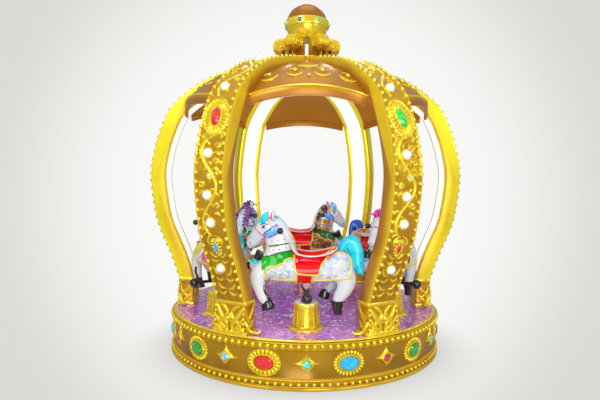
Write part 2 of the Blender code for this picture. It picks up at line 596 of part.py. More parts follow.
def make_horse_mesh(paint):
    """The galloping horse with its saddle, bored for its post and its handle bar. It faces +X."""
    parts = [limb_mesh(stations, 8) for stations in (TORSO, NECK, HEAD, SADDLE)]
    parts += [limb_mesh(stations, 6)
              for stations in (NEAR_FORELEG, FAR_FORELEG, NEAR_HINDLEG, FAR_HINDLEG, TAIL)]
    for side in (-1, 1):
        root = Vector((EAR_ROOT[0], side * EAR_SPREAD, EAR_ROOT[1]))
        ear = bmesh.new()
        lean = Matrix.Rotation(radians(EAR_LEAN), 4, "Y")
        bmesh.ops.create_cone(ear, cap_ends=True, segments=5, radius1=EAR_RADIUS, radius2=EAR_TIP_RADIUS,
                              depth=EAR_LENGTH, matrix=Matrix.Translation(root) @ lean)
        parts.append(ear)
    socket = POST_RADIUS + FIT_GAP
    hole_top = POST_TOP + FIT_GAP
    hole = [(0, POST_HOLE_BOTTOM), (socket, POST_HOLE_BOTTOM), (socket, hole_top), (0, hole_top)]
    post_hole = lathe_mesh(hole, TURNED_SIDES)
    handle_hole = bar_mesh(HANDLE_RADIUS + FIT_GAP, (HANDLE_FORWARD, -HANDLE_HOLE_REACH, HANDLE_HEIGHT),
                           (HANDLE_FORWARD, HANDLE_HOLE_REACH, HANDLE_HEIGHT))
    return join_solids("horse", parts, paint, cuts=[post_hole, handle_hole], sharp_angle=60.0)


def make_horses(turntable, gold, rubber, steel, paint):
    pedestal, boot = make_pedestal_meshes(gold, rubber)
    post = make_post_mesh(steel)
    handle = make_handle_mesh(rubber)
    horse = make_horse_mesh(paint)
    for index in range(HORSE_COUNT):
        azimuth = index * 360.0 / HORSE_COUNT
        number = index + 1
        turn = radians(azimuth)
        spot = (HORSE_CIRCLE_RADIUS * sin(turn), -HORSE_CIRCLE_RADIUS * cos(turn), 0.0)
        place(f"pedestal_{number}", pedestal, turntable, azimuth, spot)
        place(f"post_boot_{number}", boot, turntable, azimuth, spot)
        # A horse faces clockwise as seen from above, with its own +Y side outwards.
        carriage = place(f"horse_{number}_carriage", None, turntable, azimuth + 180.0, spot)
        place(f"post_and_foot_bar_{number}", post, carriage)
        place(f"horse_{number}", horse, carriage)
        place(f"handle_bar_{number}", handle, carriage)


def main():
    clear_scene()
    gold = make_material("gilded_shell", (0.62, 0.40, 0.06), 0.32, 0.85)
    bronze = make_material("bronze_shell", (0.36, 0.20, 0.05), 0.35, 0.80)
    rim_gold = make_material("bright_gold", (0.80, 0.56, 0.12), 0.25, 0.90)
    light = make_material("light_cover", (0.95, 0.95, 0.92), 0.40, 0.0)
    deck_pink = make_material("deck_covering", (0.62, 0.38, 0.72), 0.35, 0.10)
    rubber = make_material("black_rubber", (0.02, 0.02, 0.02), 0.55, 0.0)
    steel = make_material("post_steel", (0.10, 0.10, 0.11), 0.35, 0.90)
    paint = make_material("horse_paint", (0.90, 0.90, 0.92), 0.25, 0.0)

    make_drum(gold, steel)
    turntable = place("turntable", None)
    make_deck(turntable, deck_pink, gold)
    make_ribs(turntable, gold, light)
    make_roof(turntable, bronze)
    make_crown_top(turntable, gold, bronze, rim_gold)
    make_horses(turntable, gold, rubber, steel, paint)


main()
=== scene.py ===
# Looks of the crown carousel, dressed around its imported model
# Metres, +Z up, front at -Y. A shape made for the front (azimuth 0) is turned about Z to its own azimuth.
from math import cos, pi, radians, sin, tau

import bpy
import numpy as np
from mathutils import Matrix, Vector
from mathutils.bvhtree import BVHTree


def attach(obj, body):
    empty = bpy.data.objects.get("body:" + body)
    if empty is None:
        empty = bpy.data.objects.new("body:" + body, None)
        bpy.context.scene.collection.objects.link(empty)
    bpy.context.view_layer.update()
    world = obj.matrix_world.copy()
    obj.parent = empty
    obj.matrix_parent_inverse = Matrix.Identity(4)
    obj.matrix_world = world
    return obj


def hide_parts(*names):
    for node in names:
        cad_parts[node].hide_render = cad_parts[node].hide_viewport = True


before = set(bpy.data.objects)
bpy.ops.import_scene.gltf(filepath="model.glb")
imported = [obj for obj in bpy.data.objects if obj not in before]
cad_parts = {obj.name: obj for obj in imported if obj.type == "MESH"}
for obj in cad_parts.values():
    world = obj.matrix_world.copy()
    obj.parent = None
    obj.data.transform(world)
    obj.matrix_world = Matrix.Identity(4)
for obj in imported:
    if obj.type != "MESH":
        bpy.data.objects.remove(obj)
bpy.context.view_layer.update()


deckTop, ribGap = 0.3503, 0.1303  # height of the deck; half the width that a rib takes between two panels


# Mesh making

class MeshParts:  # gathers the shapes of one piece, then makes its mesh
    def __init__(self):
        self.points, self.faces, self.slots, self.relief, self.count = [], [], [], [], 0

    def add(self, shape, slot=0, relief=1.0):
        points, faceGroups = shape
        points = np.asarray(points, float).reshape(-1, 3)
        for faces in faceGroups:
            self.faces.append(np.asarray(faces) + self.count)
            self.slots.append(np.full(len(faces), slot))
        self.points.append(points)
        self.relief.append(np.broadcast_to(relief, len(points)))
        self.count += len(points)
        return self

    def mesh(self, name, materials, sharp=40.0, keep=1.0):
        mesh = bpy.data.meshes.new(name)
        mesh.vertices.add(self.count)
        mesh.vertices.foreach_set("co", np.concatenate(self.points).astype(np.float32).ravel())
        corners = np.concatenate([faces.ravel() for faces in self.faces])
        sizes = np.concatenate([np.full(len(faces), faces.shape[1]) for faces in self.faces])
        mesh.loops.add(len(corners))
        mesh.loops.foreach_set("vertex_index", corners.astype(np.int32))
        mesh.polygons.add(len(sizes))
        mesh.polygons.foreach_set("loop_start", np.concatenate([[0], np.cumsum(sizes)[:-1]]).astype(np.int32))
        mesh.polygons.foreach_set("material_index", np.concatenate(self.slots).astype(np.int32))
        mesh.update(calc_edges=True)
        # a level of painted light at each point, read by the gilt materials: high for a painted highlight, low for
        # painted shade
        attribute = mesh.attributes.new("relief", "FLOAT", "POINT")
        attribute.data.foreach_set("value", np.concatenate(self.relief).astype(np.float32))
        for material in materials:
            mesh.materials.append(material)
        if keep < 1:
            mesh = thinOut(mesh, keep)
        mesh.shade_smooth()
        mesh.set_sharp_from_angle(angle=radians(sharp))
        return mesh


def addObject(name, data):
    item = bpy.data.objects.new(name, data)
    bpy.context.scene.collection.objects.link(item)
    return item


def thinOut(mesh, keep):  # fewer triangles where the form is plain
    name = mesh.name
    holder = addObject("thinning", mesh)
    holder.modifiers.new("fewer", "DECIMATE").ratio = keep
    graph = bpy.context.evaluated_depsgraph_get()
    thinned = bpy.data.meshes.new_from_object(holder.evaluated_get(graph))
    bpy.data.objects.remove(holder, do_unlink=True)
    bpy.data.meshes.remove(mesh)
    thinned.name = name
    return thinned


def showPiece(name, mesh, body, azimuth=0.0, place=(0, 0, 0), replaced=()):
    piece = addObject(name, mesh)
    piece.location = place
    piece.rotation_euler = (0, 0, radians(azimuth))
    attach(piece, body)
    if replaced:
        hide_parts(*replaced)
    return piece


def gridShape(points, wrap=False):  # a sheet through points [rows, columns, 3]
    rows, columns = points.shape[:2]
    index = np.arange(rows * columns).reshape(rows, columns)
    if wrap:
        index = np.concatenate([index, index[:, :1]], 1)
    quads = np.stack([index[:-1, :-1], index[:-1, 1:], index[1:, 1:], index[1:, :-1]], -1)
    return points.reshape(-1, 3), [quads.reshape(-1, 4)]


def closedRings(rings, flip=False):  # a skin over closed rings, shut at both ends by fans
    points, (quads,) = gridShape(rings, wrap=True)
    rows, columns = rings.shape[:2]
    tips = np.stack([rings[0].mean(0), rings[-1].mean(0)])
    around = np.arange(columns)
    after = (around + 1) % columns
    last = (rows - 1) * columns
    low = np.stack([after, around, np.full(columns, rows * columns)], -1)
    high = np.stack([last + around, last + after, np.full(columns, rows * columns + 1)], -1)
    groups = [quads, np.concatenate([low, high])]
    if flip:
        groups = [group[:, ::-1] for group in groups]
    return np.concatenate([points, tips]), groups


def latheShape(profile, sides):  # (radius, height) turned about Z
    turns = np.arange(sides) * tau / sides
    rings = np.array([[(radius * sin(turn), -radius * cos(turn), level) for turn in turns]
                      for radius, level in profile])
    return closedRings(rings)


def ringShape(profile, sides, height=0.0):  # a closed profile turned about Z
    turns = np.arange(sides) * tau / sides
    rings = np.array([[(radius * sin(turn), -radius * cos(turn), level + height)
                       for radius, level in list(profile) + [profile[0]]] for turn in list(turns) + [0.0]])
    return gridShape(rings)


def ballShape(radii=(1, 1, 1), segments=12, rows=7, top=90.0, bottom=-90.0):
    levels = np.radians(np.linspace(bottom, top, rows + 1))
    profile = [(cos(level), sin(level)) for level in levels]
    points, faces = latheShape(profile, segments)
    return points * np.array(radii), faces


def sweepShape(path, widths, heights, normals, sides=8):  # an oval bar along a path, shut at both ends
    path = np.asarray(path, float)
    count = len(path)
    normals = np.broadcast_to(np.asarray(normals, float), (count, 3))
    along = np.gradient(path, axis=0)
    along /= np.linalg.norm(along, axis=1)[:, None] + 1e-12
    across = np.cross(along, normals)
    across /= np.linalg.norm(across, axis=1)[:, None] + 1e-12
    upward = np.cross(across, along)
    widths = np.broadcast_to(widths, count)[:, None, None]
    heights = np.broadcast_to(heights, count)[:, None, None]
    turns = (np.arange(sides) + 0.5) * tau / sides
    rings = (path[:, None] + across[:, None] * widths * np.cos(turns)[None, :, None]
             + upward[:, None] * heights * np.sin(turns)[None, :, None])
    return closedRings(rings)


def copyShape(shape, origins, xAxes=(1, 0, 0), yAxes=(0, 1, 0), zAxes=(0, 0, 1)):  # one copy in each frame
    points, groups = shape
    origins = np.asarray(origins, float).reshape(-1, 3)
    count = len(origins)
    axes = [np.broadcast_to(np.asarray(axis, float), (count, 3)) for axis in (xAxes, yAxes, zAxes)]
    placed = origins[:, None] + sum(points[None, :, k:k + 1] * axes[k][:, None] for k in range(3))
    shifts = np.arange(count) * len(points)
    return placed.reshape(-1, 3), [(group[None] + shifts[:, None, None]).reshape(-1, group.shape[1])
                                   for group in groups]


def smoothPath(points, count):  # even points on the smooth curve through the given ones
    nodes = np.asarray(points, float)
    nodes = np.concatenate([[2 * nodes[0] - nodes[1]], nodes, [2 * nodes[-1] - nodes[-2]]])
    part = np.linspace(0, 1, 16, endpoint=False)[:, None]
    fine = []
    for before, start, end, after in zip(nodes, nodes[1:], nodes[2:], nodes[3:]):
        fine.append(0.5 * (2 * start + (end - before) * part
                           + (2 * before - 5 * start + 4 * end - after) * part ** 2
                           + (3 * start - before - 3 * end + after) * part ** 3))
    fine = np.concatenate(fine + [nodes[-2:-1]])
    lengths = np.concatenate([[0], np.cumsum(np.linalg.norm(np.diff(fine, axis=0), axis=1))])
    wanted = np.linspace(0, lengths[-1], count)
    return np.stack([np.interp(wanted, lengths, fine[:, k]) for k in range(fine.shape[1])], -1)


def roundCorner(centre, radius, start, end, steps=5):  # points of an arc, degrees from +r towards +z
    turns = np.radians(np.linspace(start, end, steps + 1))
    return [(centre[0] + radius * cos(turn), centre[1] + radius * sin(turn)) for turn in turns]


def taper(count, power=0.5):  # 0 at both ends and 1 in the middle
    return np.maximum(np.sin(np.linspace(0, pi, count)), 0.0) ** power


# Materials

def newGroup(name, inputs, outputs):  # a shared effect with named sockets
    group = bpy.data.node_groups.new(name, "ShaderNodeTree")
    for label, kind, value in inputs:
        socket = group.interface.new_socket(label, in_out="INPUT", socket_type=kind)
        socket.default_value = value
    for label, kind in outputs:
        group.interface.new_socket(label, in_out="OUTPUT", socket_type=kind)
    return group, group.nodes.new("NodeGroupInput"), group.nodes.new("NodeGroupOutput")


def feed(tree, node, values):  # each value is a number or a socket to link
    for key, value in values.items():
        if isinstance(value, bpy.types.NodeSocket):
            tree.links.new(value, node.inputs[key])
        else:
            node.inputs[key].default_value = value


def addNode(tree, kind, settings=None, **values):  # a key such as i2 is the number of an input
    node = tree.nodes.new(kind)
    for key, value in (settings or {}).items():
        setattr(node, key, value)
    feed(tree, node, {int(key[1:]) if key[1:].isdigit() else key: value for key, value in values.items()})
    return node


def mixColour(tree, factor, first, second):
    return addNode(tree, "ShaderNodeMix", {"data_type": "RGBA"}, i0=factor, i6=first, i7=second).outputs[2]


def mapRange(tree, value, low, high, outLow, outHigh, smooth=False):
    return addNode(tree, "ShaderNodeMapRange", {"interpolation_type": "SMOOTHSTEP" if smooth else "LINEAR"},
                   i0=value, i1=low, i2=high, i3=outLow, i4=outHigh).outputs[0]


def mathNode(tree, operation, first, second):
    return addNode(tree, "ShaderNodeMath", {"operation": operation}, i0=first, i1=second).outputs[0]


def objectPlace(tree):
    return addNode(tree, "ShaderNodeTexCoord").outputs["Object"]


def objectNoise(tree, scale, detail=3.0):
    return addNode(tree, "ShaderNodeTexNoise", Vector=objectPlace(tree), Scale=scale, Detail=detail).outputs["Fac"]


def makeShadedGilt():  # gilt with painted light: painted highlights on raised work and painted brown shade in the hollows
    group, given, put = newGroup("shadedGilt", [
        ("Bright", "NodeSocketColor", (0.8, 0.5, 0.05, 1)), ("Middle", "NodeSocketColor", (0.4, 0.2, 0.02, 1)),
        ("Dark", "NodeSocketColor", (0.1, 0.04, 0.01, 1)), ("Relief", "NodeSocketFloat", 1.0),
        ("Mottle", "NodeSocketFloat", 9.0), ("Roughness", "NodeSocketFloat", 0.3)],
        [("Color", "NodeSocketColor"), ("Roughness", "NodeSocketFloat"), ("Height", "NodeSocketFloat")])
    broad = objectNoise(group, given.outputs["Mottle"])
    fine = objectNoise(group, 160.0, 2.0)
    shifted = mathNode(group, "ADD", given.outputs["Relief"], mapRange(group, broad, 0.3, 0.7, -0.07, 0.07))
    lower = mixColour(group, mapRange(group, shifted, 0.0, 0.45, 0, 1, True), given.outputs["Dark"],
                      given.outputs["Middle"])
    full = mixColour(group, mapRange(group, shifted, 0.4, 1.0, 0, 1, True), lower, given.outputs["Bright"])
    rough = mathNode(group, "ADD", given.outputs["Roughness"], mapRange(group, broad, 0.3, 0.7, -0.05, 0.08))
    feed(group, put, {"Color": full, "Roughness": rough, "Height": fine})
    return group


def makeEnamel():  # brushed gloss paint with a slight unevenness
    group, given, put = newGroup("enamel", [
        ("Color", "NodeSocketColor", (1, 1, 1, 1)), ("Shade", "NodeSocketColor", (0.8, 0.8, 0.9, 1)),
        ("Mottle", "NodeSocketFloat", 14.0), ("Roughness", "NodeSocketFloat", 0.25)],
        [("Color", "NodeSocketColor"), ("Roughness", "NodeSocketFloat"), ("Height", "NodeSocketFloat")])
    broad = objectNoise(group, given.outputs["Mottle"])
    fine = objectNoise(group, 90.0, 2.0)
    colour = mixColour(group, mapRange(group, broad, 0.42, 0.72, 0, 1, True), given.outputs["Color"],
                       given.outputs["Shade"])
    rough = mathNode(group, "ADD", given.outputs["Roughness"], mapRange(group, fine, 0.3, 0.7, -0.04, 0.06))
    feed(group, put, {"Color": colour, "Roughness": rough, "Height": fine})
    return group


effects = {"gilt": makeShadedGilt(), "enamel": makeEnamel()}


def startMaterial(name, metallic=0.0, roughness=0.3, coat=0.0, specular=0.5, glow=0.0):
    material = bpy.data.materials.new(name)
    material.use_nodes = True
    tree = material.node_tree
    shader = tree.nodes["Principled BSDF"]
    feed(tree, shader, {"Metallic": metallic, "Roughness": roughness, "Coat Weight": coat, "Coat Roughness": 0.06,
                        "Specular IOR Level": specular, "Emission Strength": glow})
    return material, tree, shader


def addBump(tree, shader, height, strength, distance):
    bump = addNode(tree, "ShaderNodeBump", Strength=strength, Distance=distance, Height=height)
    feed(tree, shader, {"Normal": bump.outputs[0]})


def useEffect(tree, shader, effect, strength, distance):
    feed(tree, shader, {"Base Color": effect.outputs["Color"], "Roughness": effect.outputs["Roughness"]})
    addBump(tree, shader, effect.outputs["Height"], strength, distance)


def giltMaterial(name, bright, middle, dark, metallic, roughness, mottle=9.0):
    material, tree, shader = startMaterial(name, metallic)
    # the gilt colour follows the painted light level, from painted brown shade to painted bright highlight
    relief = addNode(tree, "ShaderNodeAttribute", {"attribute_name": "relief"})
    effect = addNode(tree, "ShaderNodeGroup", {"node_tree": effects["gilt"]}, Bright=(*bright, 1),
                     Middle=(*middle, 1), Dark=(*dark, 1), Mottle=mottle, Roughness=roughness,
                     Relief=relief.outputs["Fac"])
    useEffect(tree, shader, effect, 0.25, 0.0012)
    return material


def enamelMaterial(name, colour, shade=None, roughness=0.22, coat=0.25, mottle=14.0, metallic=0.0, glow=0.0):
    shade = shade or tuple(part * 0.72 for part in colour)
    material, tree, shader = startMaterial(name, metallic, roughness, coat, 0.35, glow)
    shader.inputs["Emission Color"].default_value = (*colour, 1)
    effect = addNode(tree, "ShaderNodeGroup", {"node_tree": effects["enamel"]}, Color=(*colour, 1),
                     Shade=(*shade, 1), Mottle=mottle, Roughness=roughness)
    useEffect(tree, shader, effect, 0.15, 0.001)
    return material


def gemMaterial(name, deep, light):  # coloured facets with painted glints in lighter cells, and a faint painted glow
    material, tree, shader = startMaterial(name, 0.0, 0.07, 1.0, 0.8, 0.12)
    cells = addNode(tree, "ShaderNodeTexVoronoi", Vector=objectPlace(tree), Scale=46.0)
    paintedGlint = addNode(tree, "ShaderNodeSeparateColor", i0=cells.outputs["Color"])
    colour = mixColour(tree, mapRange(tree, paintedGlint.outputs[0], 0.5, 1.0, 0, 0.8, True), (*deep, 1), (*light, 1))
    feed(tree, shader, {"Base Color": colour, "Emission Color": colour})
    return material


def glitterMaterial(name):  # pink and violet scales, some painted near white as painted glints
    material, tree, shader = startMaterial(name, 0.3, 0.25, 0.15, 0.4)
    place = objectPlace(tree)
    reach = addNode(tree, "ShaderNodeVectorMath", {"operation": "LENGTH"}, i0=place)
    scales = addNode(tree, "ShaderNodeTexVoronoi", Vector=place, Scale=44.0, Randomness=0.85)
    tint = addNode(tree, "ShaderNodeSeparateColor", i0=scales.outputs["Color"])
    drift = objectNoise(tree, 3.5, 2.0)
    edge = mathNode(tree, "ADD", mapRange(tree, reach.outputs["Value"], 0.45, 1.15, 0, 1),
                    mapRange(tree, drift, 0.3, 0.7, -0.25, 0.25))
    base = mixColour(tree, mapRange(tree, edge, 0.1, 1.0, 0, 1, True), (0.38, 0.028, 0.68, 1),
                     (0.72, 0.28, 0.88, 1))
    shaded = mixColour(tree, mapRange(tree, tint.outputs[0], 0.35, 1.0, 0, 0.75), base, (0.24, 0.018, 0.48, 1))
    # painted glints: some scales are painted near white
    paintedGlints = mixColour(tree, mapRange(tree, tint.outputs[1], 0.8, 0.97, 0, 0.95), shaded,
                        (1.0, 0.86, 0.98, 1))
    feed(tree, shader, {"Base Color": paintedGlints, "Roughness": mapRange(tree, tint.outputs[2], 0, 1, 0.1, 0.42)})
    addBump(tree, shader, scales.outputs["Distance"], 0.5, 0.003)
    return material


gold = giltMaterial("gold", (0.92, 0.7, 0.03), (0.58, 0.3, 0.01), (0.16, 0.048, 0.003), 0.55, 0.27)
brightGold = giltMaterial("brightGold", (0.95, 0.76, 0.05), (0.76, 0.5, 0.02), (0.3, 0.12, 0.006), 0.6, 0.2)
wallGold = giltMaterial("wallGold", (0.7, 0.45, 0.01), (0.52, 0.28, 0.006), (0.16, 0.06, 0.003), 0.4, 0.33, 4.0)
# lit and shaded copies of one side gilt: a painted lit lemon and a painted shaded brown
litSideGold = giltMaterial("litSideGold", (0.94, 0.84, 0.012), (0.78, 0.54, 0.01), (0.46, 0.18, 0.006), 0.4, 0.3, 2.0)
shadedGold = giltMaterial("shadedGold", (0.86, 0.62, 0.014), (0.48, 0.21, 0.012), (0.3, 0.09, 0.006), 0.4, 0.3, 2.0)
bronze = giltMaterial("bronze", (0.58, 0.29, 0.01), (0.42, 0.165, 0.006), (0.14, 0.04, 0.003), 0.4, 0.32, 3.0)
pearl = enamelMaterial("pearlWhite", (0.93, 0.94, 0.96), (0.72, 0.8, 0.92), 0.12, 0.8, 30.0)
lightCover = enamelMaterial("lightCover", (0.95, 0.95, 0.93), (0.88, 0.88, 0.9), 0.35, 0.2, 6.0, glow=0.55)
blackPaint = enamelMaterial("blackPaint", (0.008, 0.008, 0.011), (0.02, 0.02, 0.03), 0.14, 0.6)
blackRubber = enamelMaterial("blackRubber", (0.012, 0.012, 0.014), (0.03, 0.03, 0.034), 0.42, 0.1, 40.0)
steel = enamelMaterial("darkSteel", (0.1, 0.1, 0.11), (0.16, 0.16, 0.17), 0.32, 0.0, 40.0, 0.8)
deckCover = glitterMaterial("deckCover")
# each gem: its deep colour and the colour of its painted glints
gems = {name: gemMaterial(f"gem{name[0].upper()}{name[1:]}", *colours) for name, colours in {
    "red": ((0.6, 0.0, 0.002), (0.86, 0.015, 0.012)),
    "green": ((0.0, 0.24, 0.008), (0.02, 0.46, 0.04)),
    "brightGreen": ((0.0, 0.5, 0.02), (0.03, 0.74, 0.08)),
    "blue": ((0.0, 0.38, 0.78), (0.03, 0.56, 0.9)),
    "paleBlue": ((0.1, 0.42, 0.68), (0.55, 0.85, 0.95)),
    "deepBlue": ((0.01, 0.1, 0.55), (0.2, 0.5, 0.95)),
    "aqua": ((0.02, 0.48, 0.42), (0.42, 0.9, 0.82)),
    "darkRed": ((0.38, 0.012, 0.03), (0.85, 0.25, 0.3)),
    "crystal": ((0.45, 0.58, 0.66), (0.95, 0.97, 1.0)),
}.items()}
print("materials ready")


# Stage: camera, floor and lights

view = {"place": (-0.082, -4.691, 1.498), "lens": 30.495, "yaw": 0.007, "pitch": -0.044, "roll": 0.009}


def makeCamera():
    ahead = Vector((sin(view["yaw"]) * cos(view["pitch"]), cos(view["yaw"]) * cos(view["pitch"]),
                    sin(view["pitch"])))
    right = Vector((cos(view["yaw"]), -sin(view["yaw"]), 0))
    upward = right.cross(ahead)
    across = right * cos(view["roll"]) + upward * sin(view["roll"])
    upright = upward * cos(view["roll"]) - right * sin(view["roll"])
    data = bpy.data.cameras.new("camera")
    data.sensor_width, data.lens = 36.0, view["lens"]
    camera = addObject("camera", data)
    camera.matrix_world = Matrix((across, upright, -ahead)).transposed().to_4x4()
    camera.location = view["place"]
    bpy.context.scene.camera = camera


studio = {
    "floorReach": 60.0, "backEdge": (0.716, 0.708, 0.679), "backMiddle": (0.945, 0.943, 0.928),
    "skyTop": 0.6, "skySide": 0.34, "skyLow": 0.16,
    "lamps": (  # place, aim, size, power
        ((-3.4, -5.4, 5.2), (0, 0, 1.2), 2.2, 170), ((4.8, -4.2, 3.4), (0, 0, 1.3), 2.0, 70),
        ((0.5, 4.8, 5.2), (0, 0, 1.5), 2.6, 130), ((0.3, -6.8, 1.7), (0, 0, 1.1), 3.2, 190),
        ((0, 0, 6.8), (0, 0, 0), 3.0, 35), ((0, 0, 0.95), (0, 0, 3), 0.7, 11)),
}


def backdrop(tree, direction):  # pale grey with a painted pool of light: lighter in the middle of the view, darker away from it
    ahead = addNode(tree, "ShaderNodeVectorMath", {"operation": "NORMALIZE"}, i0=direction)
    facing = addNode(tree, "ShaderNodeVectorMath", {"operation": "DOT_PRODUCT"}, i0=ahead.outputs[0],
                     i1=(view["yaw"], cos(view["pitch"]), sin(view["pitch"])))
    share = mapRange(tree, facing.outputs["Value"], 0.8386, 0.9641, 0, 1, True)
    return mixColour(tree, share, (*studio["backEdge"], 1), (*studio["backMiddle"], 1))


def makeStage():
    reach = studio["floorReach"]
    corners = np.array([[[-reach, -reach, -0.002], [reach, -reach, -0.002]],
                        [[-reach, reach, -0.002], [reach, reach, -0.002]]])
    material = bpy.data.materials.new("paleFloor")
    material.use_nodes = True
    tree = material.node_tree
    tree.nodes.clear()
    matt = addNode(tree, "ShaderNodeBsdfDiffuse", Color=(0.52, 0.51, 0.49, 1))
    # seen by the camera, the floor shows the backdrop colour with a painted contact shadow, darker where other parts
    # are near
    paintedContactShadow = addNode(tree, "ShaderNodeAmbientOcclusion", {"samples": 8}, Distance=0.45)
    spot = addNode(tree, "ShaderNodeNewGeometry")
    reachOut = addNode(tree, "ShaderNodeVectorMath", {"operation": "SUBTRACT"}, i0=spot.outputs["Position"],
                       i1=view["place"])
    seenColour = mixColour(tree, mapRange(tree, paintedContactShadow.outputs["AO"], 0.3, 1, 0, 1), (0.56, 0.55, 0.53, 1),
                           backdrop(tree, reachOut.outputs[0]))
    glow = addNode(tree, "ShaderNodeEmission", Strength=1.0, Color=seenColour)
    seen = addNode(tree, "ShaderNodeLightPath")
    blend = addNode(tree, "ShaderNodeMixShader", i0=seen.outputs["Is Camera Ray"], i1=matt.outputs[0],
                    i2=glow.outputs[0])
    addNode(tree, "ShaderNodeOutputMaterial", Surface=blend.outputs[0])
    stageFloor = addObject("floor", MeshParts().add(gridShape(corners)).mesh("floor", [material]))
    for number, (place, aim, size, power) in enumerate(studio["lamps"]):
        data = bpy.data.lights.new(f"lamp{number}", "AREA")
        data.size, data.energy = size, power
        lamp = addObject(f"lamp{number}", data)
        lamp.location = place
        lamp.visible_camera = False
        lamp.rotation_euler = (Vector(aim) - Vector(place)).to_track_quat("-Z", "Y").to_euler()
    world = bpy.data.worlds.new("studio")
    world.use_nodes = True
    tree = world.node_tree
    ground = tree.nodes["Background"]
    place = addNode(tree, "ShaderNodeTexCoord").outputs["Generated"]
    split = addNode(tree, "ShaderNodeSeparateXYZ", i0=place)
    upper = mapRange(tree, split.outputs[2], 0.0, 0.8, studio["skySide"], studio["skyTop"], True)
    lower = mapRange(tree, split.outputs[2], -0.3, 0.0, studio["skyLow"], 0.0)
    light = mathNode(tree, "MAXIMUM", upper, lower)
    seen = addNode(tree, "ShaderNodeLightPath")
    feed(tree, ground, {"Color": mixColour(tree, seen.outputs["Is Camera Ray"], light, backdrop(tree, place))})
    bpy.context.scene.world = world
    bpy.context.scene.view_settings.view_transform = "Standard"


makeCamera()
makeStage()
print("stage ready")


# Gems and their settings, made flat in local axes: x across, y up, z out of the surface

def gemShape(halfWidth, halfHeight, depth, facets=12, lift=0.0):
    rings = []
    for level, (share, rise) in enumerate(((1.0, 0.0), (0.96, 0.35), (0.74, 0.8), (0.42, 1.0))):
        turns = (np.arange(facets) + 0.5 * (level % 2)) * tau / facets
        rings.append(np.stack([halfWidth * share * np.cos(turns), halfHeight * share * np.sin(turns),
                               np.full(facets, depth * rise + lift)], -1))
    return closedRings(np.array(rings))


def hoopShape(halfWidth, halfHeight, thick, power=2.0, steps=40, sides=6, lift=0.0):  # a closed rim
    turns = np.linspace(0, tau, steps, endpoint=False)
    reach = (np.abs(np.cos(turns) / halfWidth) ** power + np.abs(np.sin(turns) / halfHeight) ** power) ** (-1 / power)
    centre = np.stack([reach * np.cos(turns), reach * np.sin(turns), np.full(steps, lift)], -1)
    outward = centre / np.linalg.norm(centre, axis=1)[:, None]
    outward[:, 2] = 0
    around = np.arange(sides) * tau / sides
    rings = (centre[:, None] + outward[:, None] * thick * np.cos(around)[None, :, None]
             + np.array([0, 0, 1.0]) * thick * np.sin(around)[None, :, None])
    rings = np.concatenate([rings, rings[:1]])
    points, (quads,) = gridShape(rings, wrap=True)
    return points, [quads[:, ::-1]]


def starPlate(top, side, bottom, rise, power=0.62, rays=64, rows=7):  # a raised star with hollow sides
    turns = np.linspace(0, tau, rays, endpoint=False)
    high = np.where(np.sin(turns) >= 0, top, bottom)
    reach = (np.abs(np.cos(turns) / side) ** power + np.abs(np.sin(turns) / high) ** power) ** (-1 / power)
    share = np.linspace(1, 0.04, rows)
    level = rise * (1 - share) ** 0.8 + 0.003
    level[0] = -0.004
    rings = np.stack([share[:, None] * reach * np.cos(turns), share[:, None] * reach * np.sin(turns),
                      np.repeat(level[:, None], rays, 1)], -1)
    return closedRings(rings)


def ovalPlate(halfWidth, halfHeight, rise, rays=48, rows=5):
    turns = np.linspace(0, tau, rays, endpoint=False)
    share = np.linspace(1, 0.1, rows)
    level = rise * np.sqrt(np.maximum(1 - share ** 2, 0)) + 0.002
    level[0] = -0.004
    rings = np.stack([share[:, None] * halfWidth * np.cos(turns), share[:, None] * halfHeight * np.sin(turns),
                      np.repeat(level[:, None], rays, 1)], -1)
    return closedRings(rings)


def petalRing(halfWidth, halfHeight, count, length, width, rise, start=0.0):  # petals round an oval
    petal = ballShape((width / 2, length / 2, rise), 8, 4, 90, 0)
    turns = start + np.arange(count) * tau / count
    origins = np.stack([halfWidth * np.cos(turns), halfHeight * np.sin(turns), np.zeros(count)], -1)
    outward = np.stack([np.cos(turns) / halfWidth, np.sin(turns) / halfHeight, np.zeros(count)], -1)
    outward /= np.linalg.norm(outward, axis=1)[:, None]
    across = np.stack([outward[:, 1], -outward[:, 0], np.zeros(count)], -1)
    return copyShape(petal, origins, across, outward, (0, 0, 1))


# Drum, deck and edge ring

drumLook = {
    "sides": 240, "wallRadius": 1.172,
    "upperBeads": {"count": 134, "radius": 0.0185, "ring": 1.186, "height": 0.3145},
    "lowerBeads": {"count": 134, "radius": 0.015, "ring": 1.1855, "height": 0.0435},
    "settingHeight": 0.184,
    "ovalColours": {-15: "red", 15: "blue", -45: "green", 45: "green", -75: "blue", 75: "red", -105: "green",
                    105: "green", -135: "red", 135: "blue", -165: "green", 165: "red"},
    "starColours": {0: "aqua", -30: "paleBlue", 30: "darkRed", -60: "red", 60: "aqua", -90: "aqua",
                    90: "paleBlue", -120: "darkRed", 120: "red", -150: "paleBlue", 150: "aqua", 180: "darkRed"},
}


def bendToWall(shape, radius, height, azimuth):  # lays a flat shape on the drum's wall
    points, groups = shape
    turn = radians(azimuth) + points[:, 0] / radius
    reach = radius + points[:, 2]
    return np.stack([reach * np.sin(turn), -reach * np.cos(turn), height + points[:, 1]], -1), groups


def ringOfCopies(shape, count, ring, height):  # copies round the axis, z out, y up
    turns = np.arange(count) * tau / count
    outward = np.stack([np.sin(turns), -np.cos(turns), np.zeros(count)], -1)
    across = np.stack([np.cos(turns), np.sin(turns), np.zeros(count)], -1)
    return copyShape(shape, outward * ring + np.array([0, 0, height]), across, (0, 0, 1), outward)


